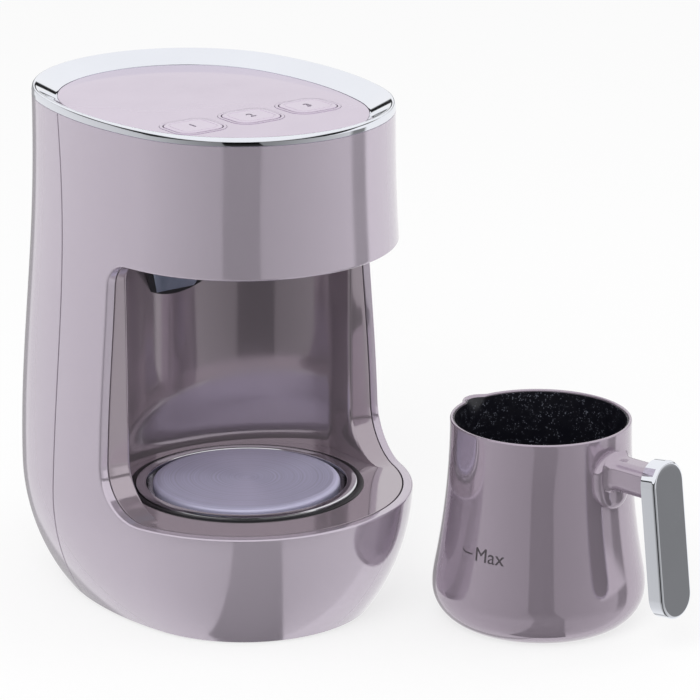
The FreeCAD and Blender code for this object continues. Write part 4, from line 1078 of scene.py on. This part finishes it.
def screw_tree():
    """Pan-head screws with a cross recess, one at each point; head towards +Z before the turn."""
    tree = bpy.data.node_groups.new("pan_head_screws", "GeometryNodeTree")
    tree.interface.new_socket("Places", in_out="INPUT", socket_type="NodeSocketGeometry")
    for label in ("Head radius", "Head height", "Shank radius", "Shank length"):
        tree.interface.new_socket(label, in_out="INPUT", socket_type="NodeSocketFloat")
    tree.interface.new_socket("Turn", in_out="INPUT", socket_type="NodeSocketVector")
    tree.interface.new_socket("Finish", in_out="INPUT", socket_type="NodeSocketMaterial")
    tree.interface.new_socket("Screws", in_out="OUTPUT", socket_type="NodeSocketGeometry")
    nodes, links = tree.nodes, tree.links
    given = nodes.new("NodeGroupInput").outputs

    def feed(socket, value):
        if isinstance(value, bpy.types.NodeSocket):
            links.new(value, socket)
        else:
            socket.default_value = value

    def number(operation, first, second):
        node = nodes.new("ShaderNodeMath")
        node.operation = operation
        feed(node.inputs[0], first)
        feed(node.inputs[1], second)
        return node.outputs[0]

    def triple(x, y, z):
        node = nodes.new("ShaderNodeCombineXYZ")
        for socket, value in zip(node.inputs, (x, y, z)):
            feed(socket, value)
        return node.outputs[0]

    def raised(geometry, height):
        node = nodes.new("GeometryNodeTransform")
        links.new(geometry, node.inputs["Geometry"])
        links.new(triple(0.0, 0.0, height), node.inputs["Translation"])
        return node.outputs["Geometry"]

    def cone(low_radius, high_radius, depth, foot):
        node = nodes.new("GeometryNodeMeshCone")
        node.inputs["Vertices"].default_value = 40
        feed(node.inputs["Radius Bottom"], low_radius)
        feed(node.inputs["Radius Top"], high_radius)
        feed(node.inputs["Depth"], depth)
        return raised(node.outputs["Mesh"], foot)

    def slot_box(long_x, long_y):
        node = nodes.new("GeometryNodeMeshCube")
        size_x = number("MULTIPLY", head_radius, long_x)
        size_y = number("MULTIPLY", head_radius, long_y)
        links.new(triple(size_x, size_y, head_height), node.inputs["Size"])
        return raised(node.outputs["Mesh"], number("MULTIPLY", head_height, 0.95))

    head_radius, head_height = given["Head radius"], given["Head height"]
    side = number("MULTIPLY", head_height, 0.45)
    shoulder = number("MULTIPLY", head_height, 0.35)
    crown = number("MULTIPLY", head_height, 0.20)
    crown_foot = number("ADD", side, shoulder)
    layers = [
        cone(head_radius, head_radius, side, 0.0),
        cone(head_radius, number("MULTIPLY", head_radius, 0.85), shoulder, side),
        cone(number("MULTIPLY", head_radius, 0.85), number("MULTIPLY", head_radius, 0.55), crown, crown_foot),
    ]
    whole = nodes.new("GeometryNodeMeshBoolean")
    whole.operation = "UNION"
    for layer in layers:
        links.new(layer, whole.inputs["Mesh 2"])
    recess = nodes.new("GeometryNodeMeshBoolean")
    recess.operation = "DIFFERENCE"
    links.new(whole.outputs["Mesh"], recess.inputs["Mesh 1"])
    for box in (slot_box(1.1, 0.26), slot_box(0.26, 1.1)):
        links.new(box, recess.inputs["Mesh 2"])
    shank_length = given["Shank length"]
    shank = cone(number("MULTIPLY", given["Shank radius"], 0.8), given["Shank radius"], shank_length,
                 number("MULTIPLY", shank_length, -1.0))
    one = nodes.new("GeometryNodeJoinGeometry")
    links.new(recess.outputs["Mesh"], one.inputs[0])
    links.new(shank, one.inputs[0])
    points = nodes.new("GeometryNodeMeshToPoints")
    links.new(given["Places"], points.inputs["Mesh"])
    spread_out = nodes.new("GeometryNodeInstanceOnPoints")
    links.new(points.outputs[0], spread_out.inputs["Points"])
    links.new(one.outputs[0], spread_out.inputs["Instance"])
    links.new(given["Turn"], spread_out.inputs["Rotation"])
    plain = nodes.new("GeometryNodeRealizeInstances")
    links.new(spread_out.outputs[0], plain.inputs[0])
    finish = nodes.new("GeometryNodeSetMaterial")
    links.new(plain.outputs[0], finish.inputs["Geometry"])
    links.new(given["Finish"], finish.inputs["Material"])
    links.new(finish.outputs[0], nodes.new("NodeGroupOutput").inputs[0])
    return tree


def place_screws(tree, node, name, places, turn, shank_length):
    mesh = bpy.data.meshes.new(name)
    mesh.from_pydata([tuple(c * MM for c in p) for p in places], [], [])
    holder = placed(name, mesh)
    maker = holder.modifiers.new("screws", "NODES")
    maker.node_group = tree
    values = {"Head radius": 2.8 * MM, "Head height": 2.0 * MM, "Shank radius": 1.45 * MM,
              "Shank length": shank_length * MM, "Turn": turn, "Finish": finishes["screw_steel"]}
    for item in tree.interface.items_tree:
        if item.item_type == "SOCKET" and item.name in values:
            maker[item.identifier] = values[item.name]
    plain = plain_mesh(holder)
    bpy.data.objects.remove(holder)
    finish_piece(name, plain, "machine", "screw_steel", [node], weighted=False)


def make_screws():
    tree = screw_tree()
    head_down, head_forward = (math.pi, 0.0, 0.0), (math.pi / 2, 0.0, 0.0)
    corners = [(sx, sy) for sx in (-1, 1) for sy in (-1, 1)]
    base = [(44.51 * sx, 53.51 * sy, 2.98) for sx, sy in corners]
    board = [(43.0 * sx, -31.0 + 17.0 * sy, 213.58) for sx, sy in corners]
    bracket = [(59.0 * sx, -25.0, 38.06) for sx in (-1, 1)]
    power = [(30.0 * sx, 73.98, 122.0 + 30.2 * sy) for sx, sy in corners]
    place_screws(tree, "base_screws", "screws_base", base, head_down, 9.0)
    place_screws(tree, "board_screws", "screws_board", board, head_down, 8.6)
    place_screws(tree, "bracket_screws", "screws_bracket", bracket, head_down, 8.6)
    place_screws(tree, "power_screws", "screws_power", power, head_forward, 8.6)


# Pieces whose CAD shape stays, with smooth shading

def smoothed(node, name, slot):
    mesh = frame["nodes"][node].data.copy()
    work = bmesh.new()
    work.from_mesh(mesh)
    bmesh.ops.remove_doubles(work, verts=work.verts, dist=0.002 * MM)
    work.to_mesh(mesh)
    work.free()
    mesh.name = name
    finish_piece(name, mesh, "machine", slot, [node])


def dress_cad_nodes():
    slots = {row["node"]: row["material_slot"] for row in frame["record"]["subparts"]}
    for node, piece in frame["nodes"].items():
        piece.data.materials.clear()
        piece.data.materials.append(finishes[slots[node]])


place_camera()
make_world()
make_floor()
soft_box("key_light", (-1.6, -1.2, 2.0), (0.04, -0.03, 0.10), 1.6, 34)
soft_box("fill_light", (1.9, -1.4, 1.3), (0.04, -0.03, 0.10), 1.6, 12)
dress_cad_nodes()
make_front_housing()
make_rear_cover()
make_bay_liner()
make_top_ring()
make_buttons()
make_plate()
make_pot()
make_arm()
make_grip()
make_level_mark()
make_screws()
for cad_node, piece_name, piece_slot in (
        ("foot_ring", "foot_band", "foot_rubber"), ("base_plate", "plate_base", "black_plastic"),
        ("cord_gland", "gland_cord", "black_plastic")):
    smoothed(cad_node, piece_name, piece_slot)

bpy.context.scene.view_settings.view_transform = "Standard"
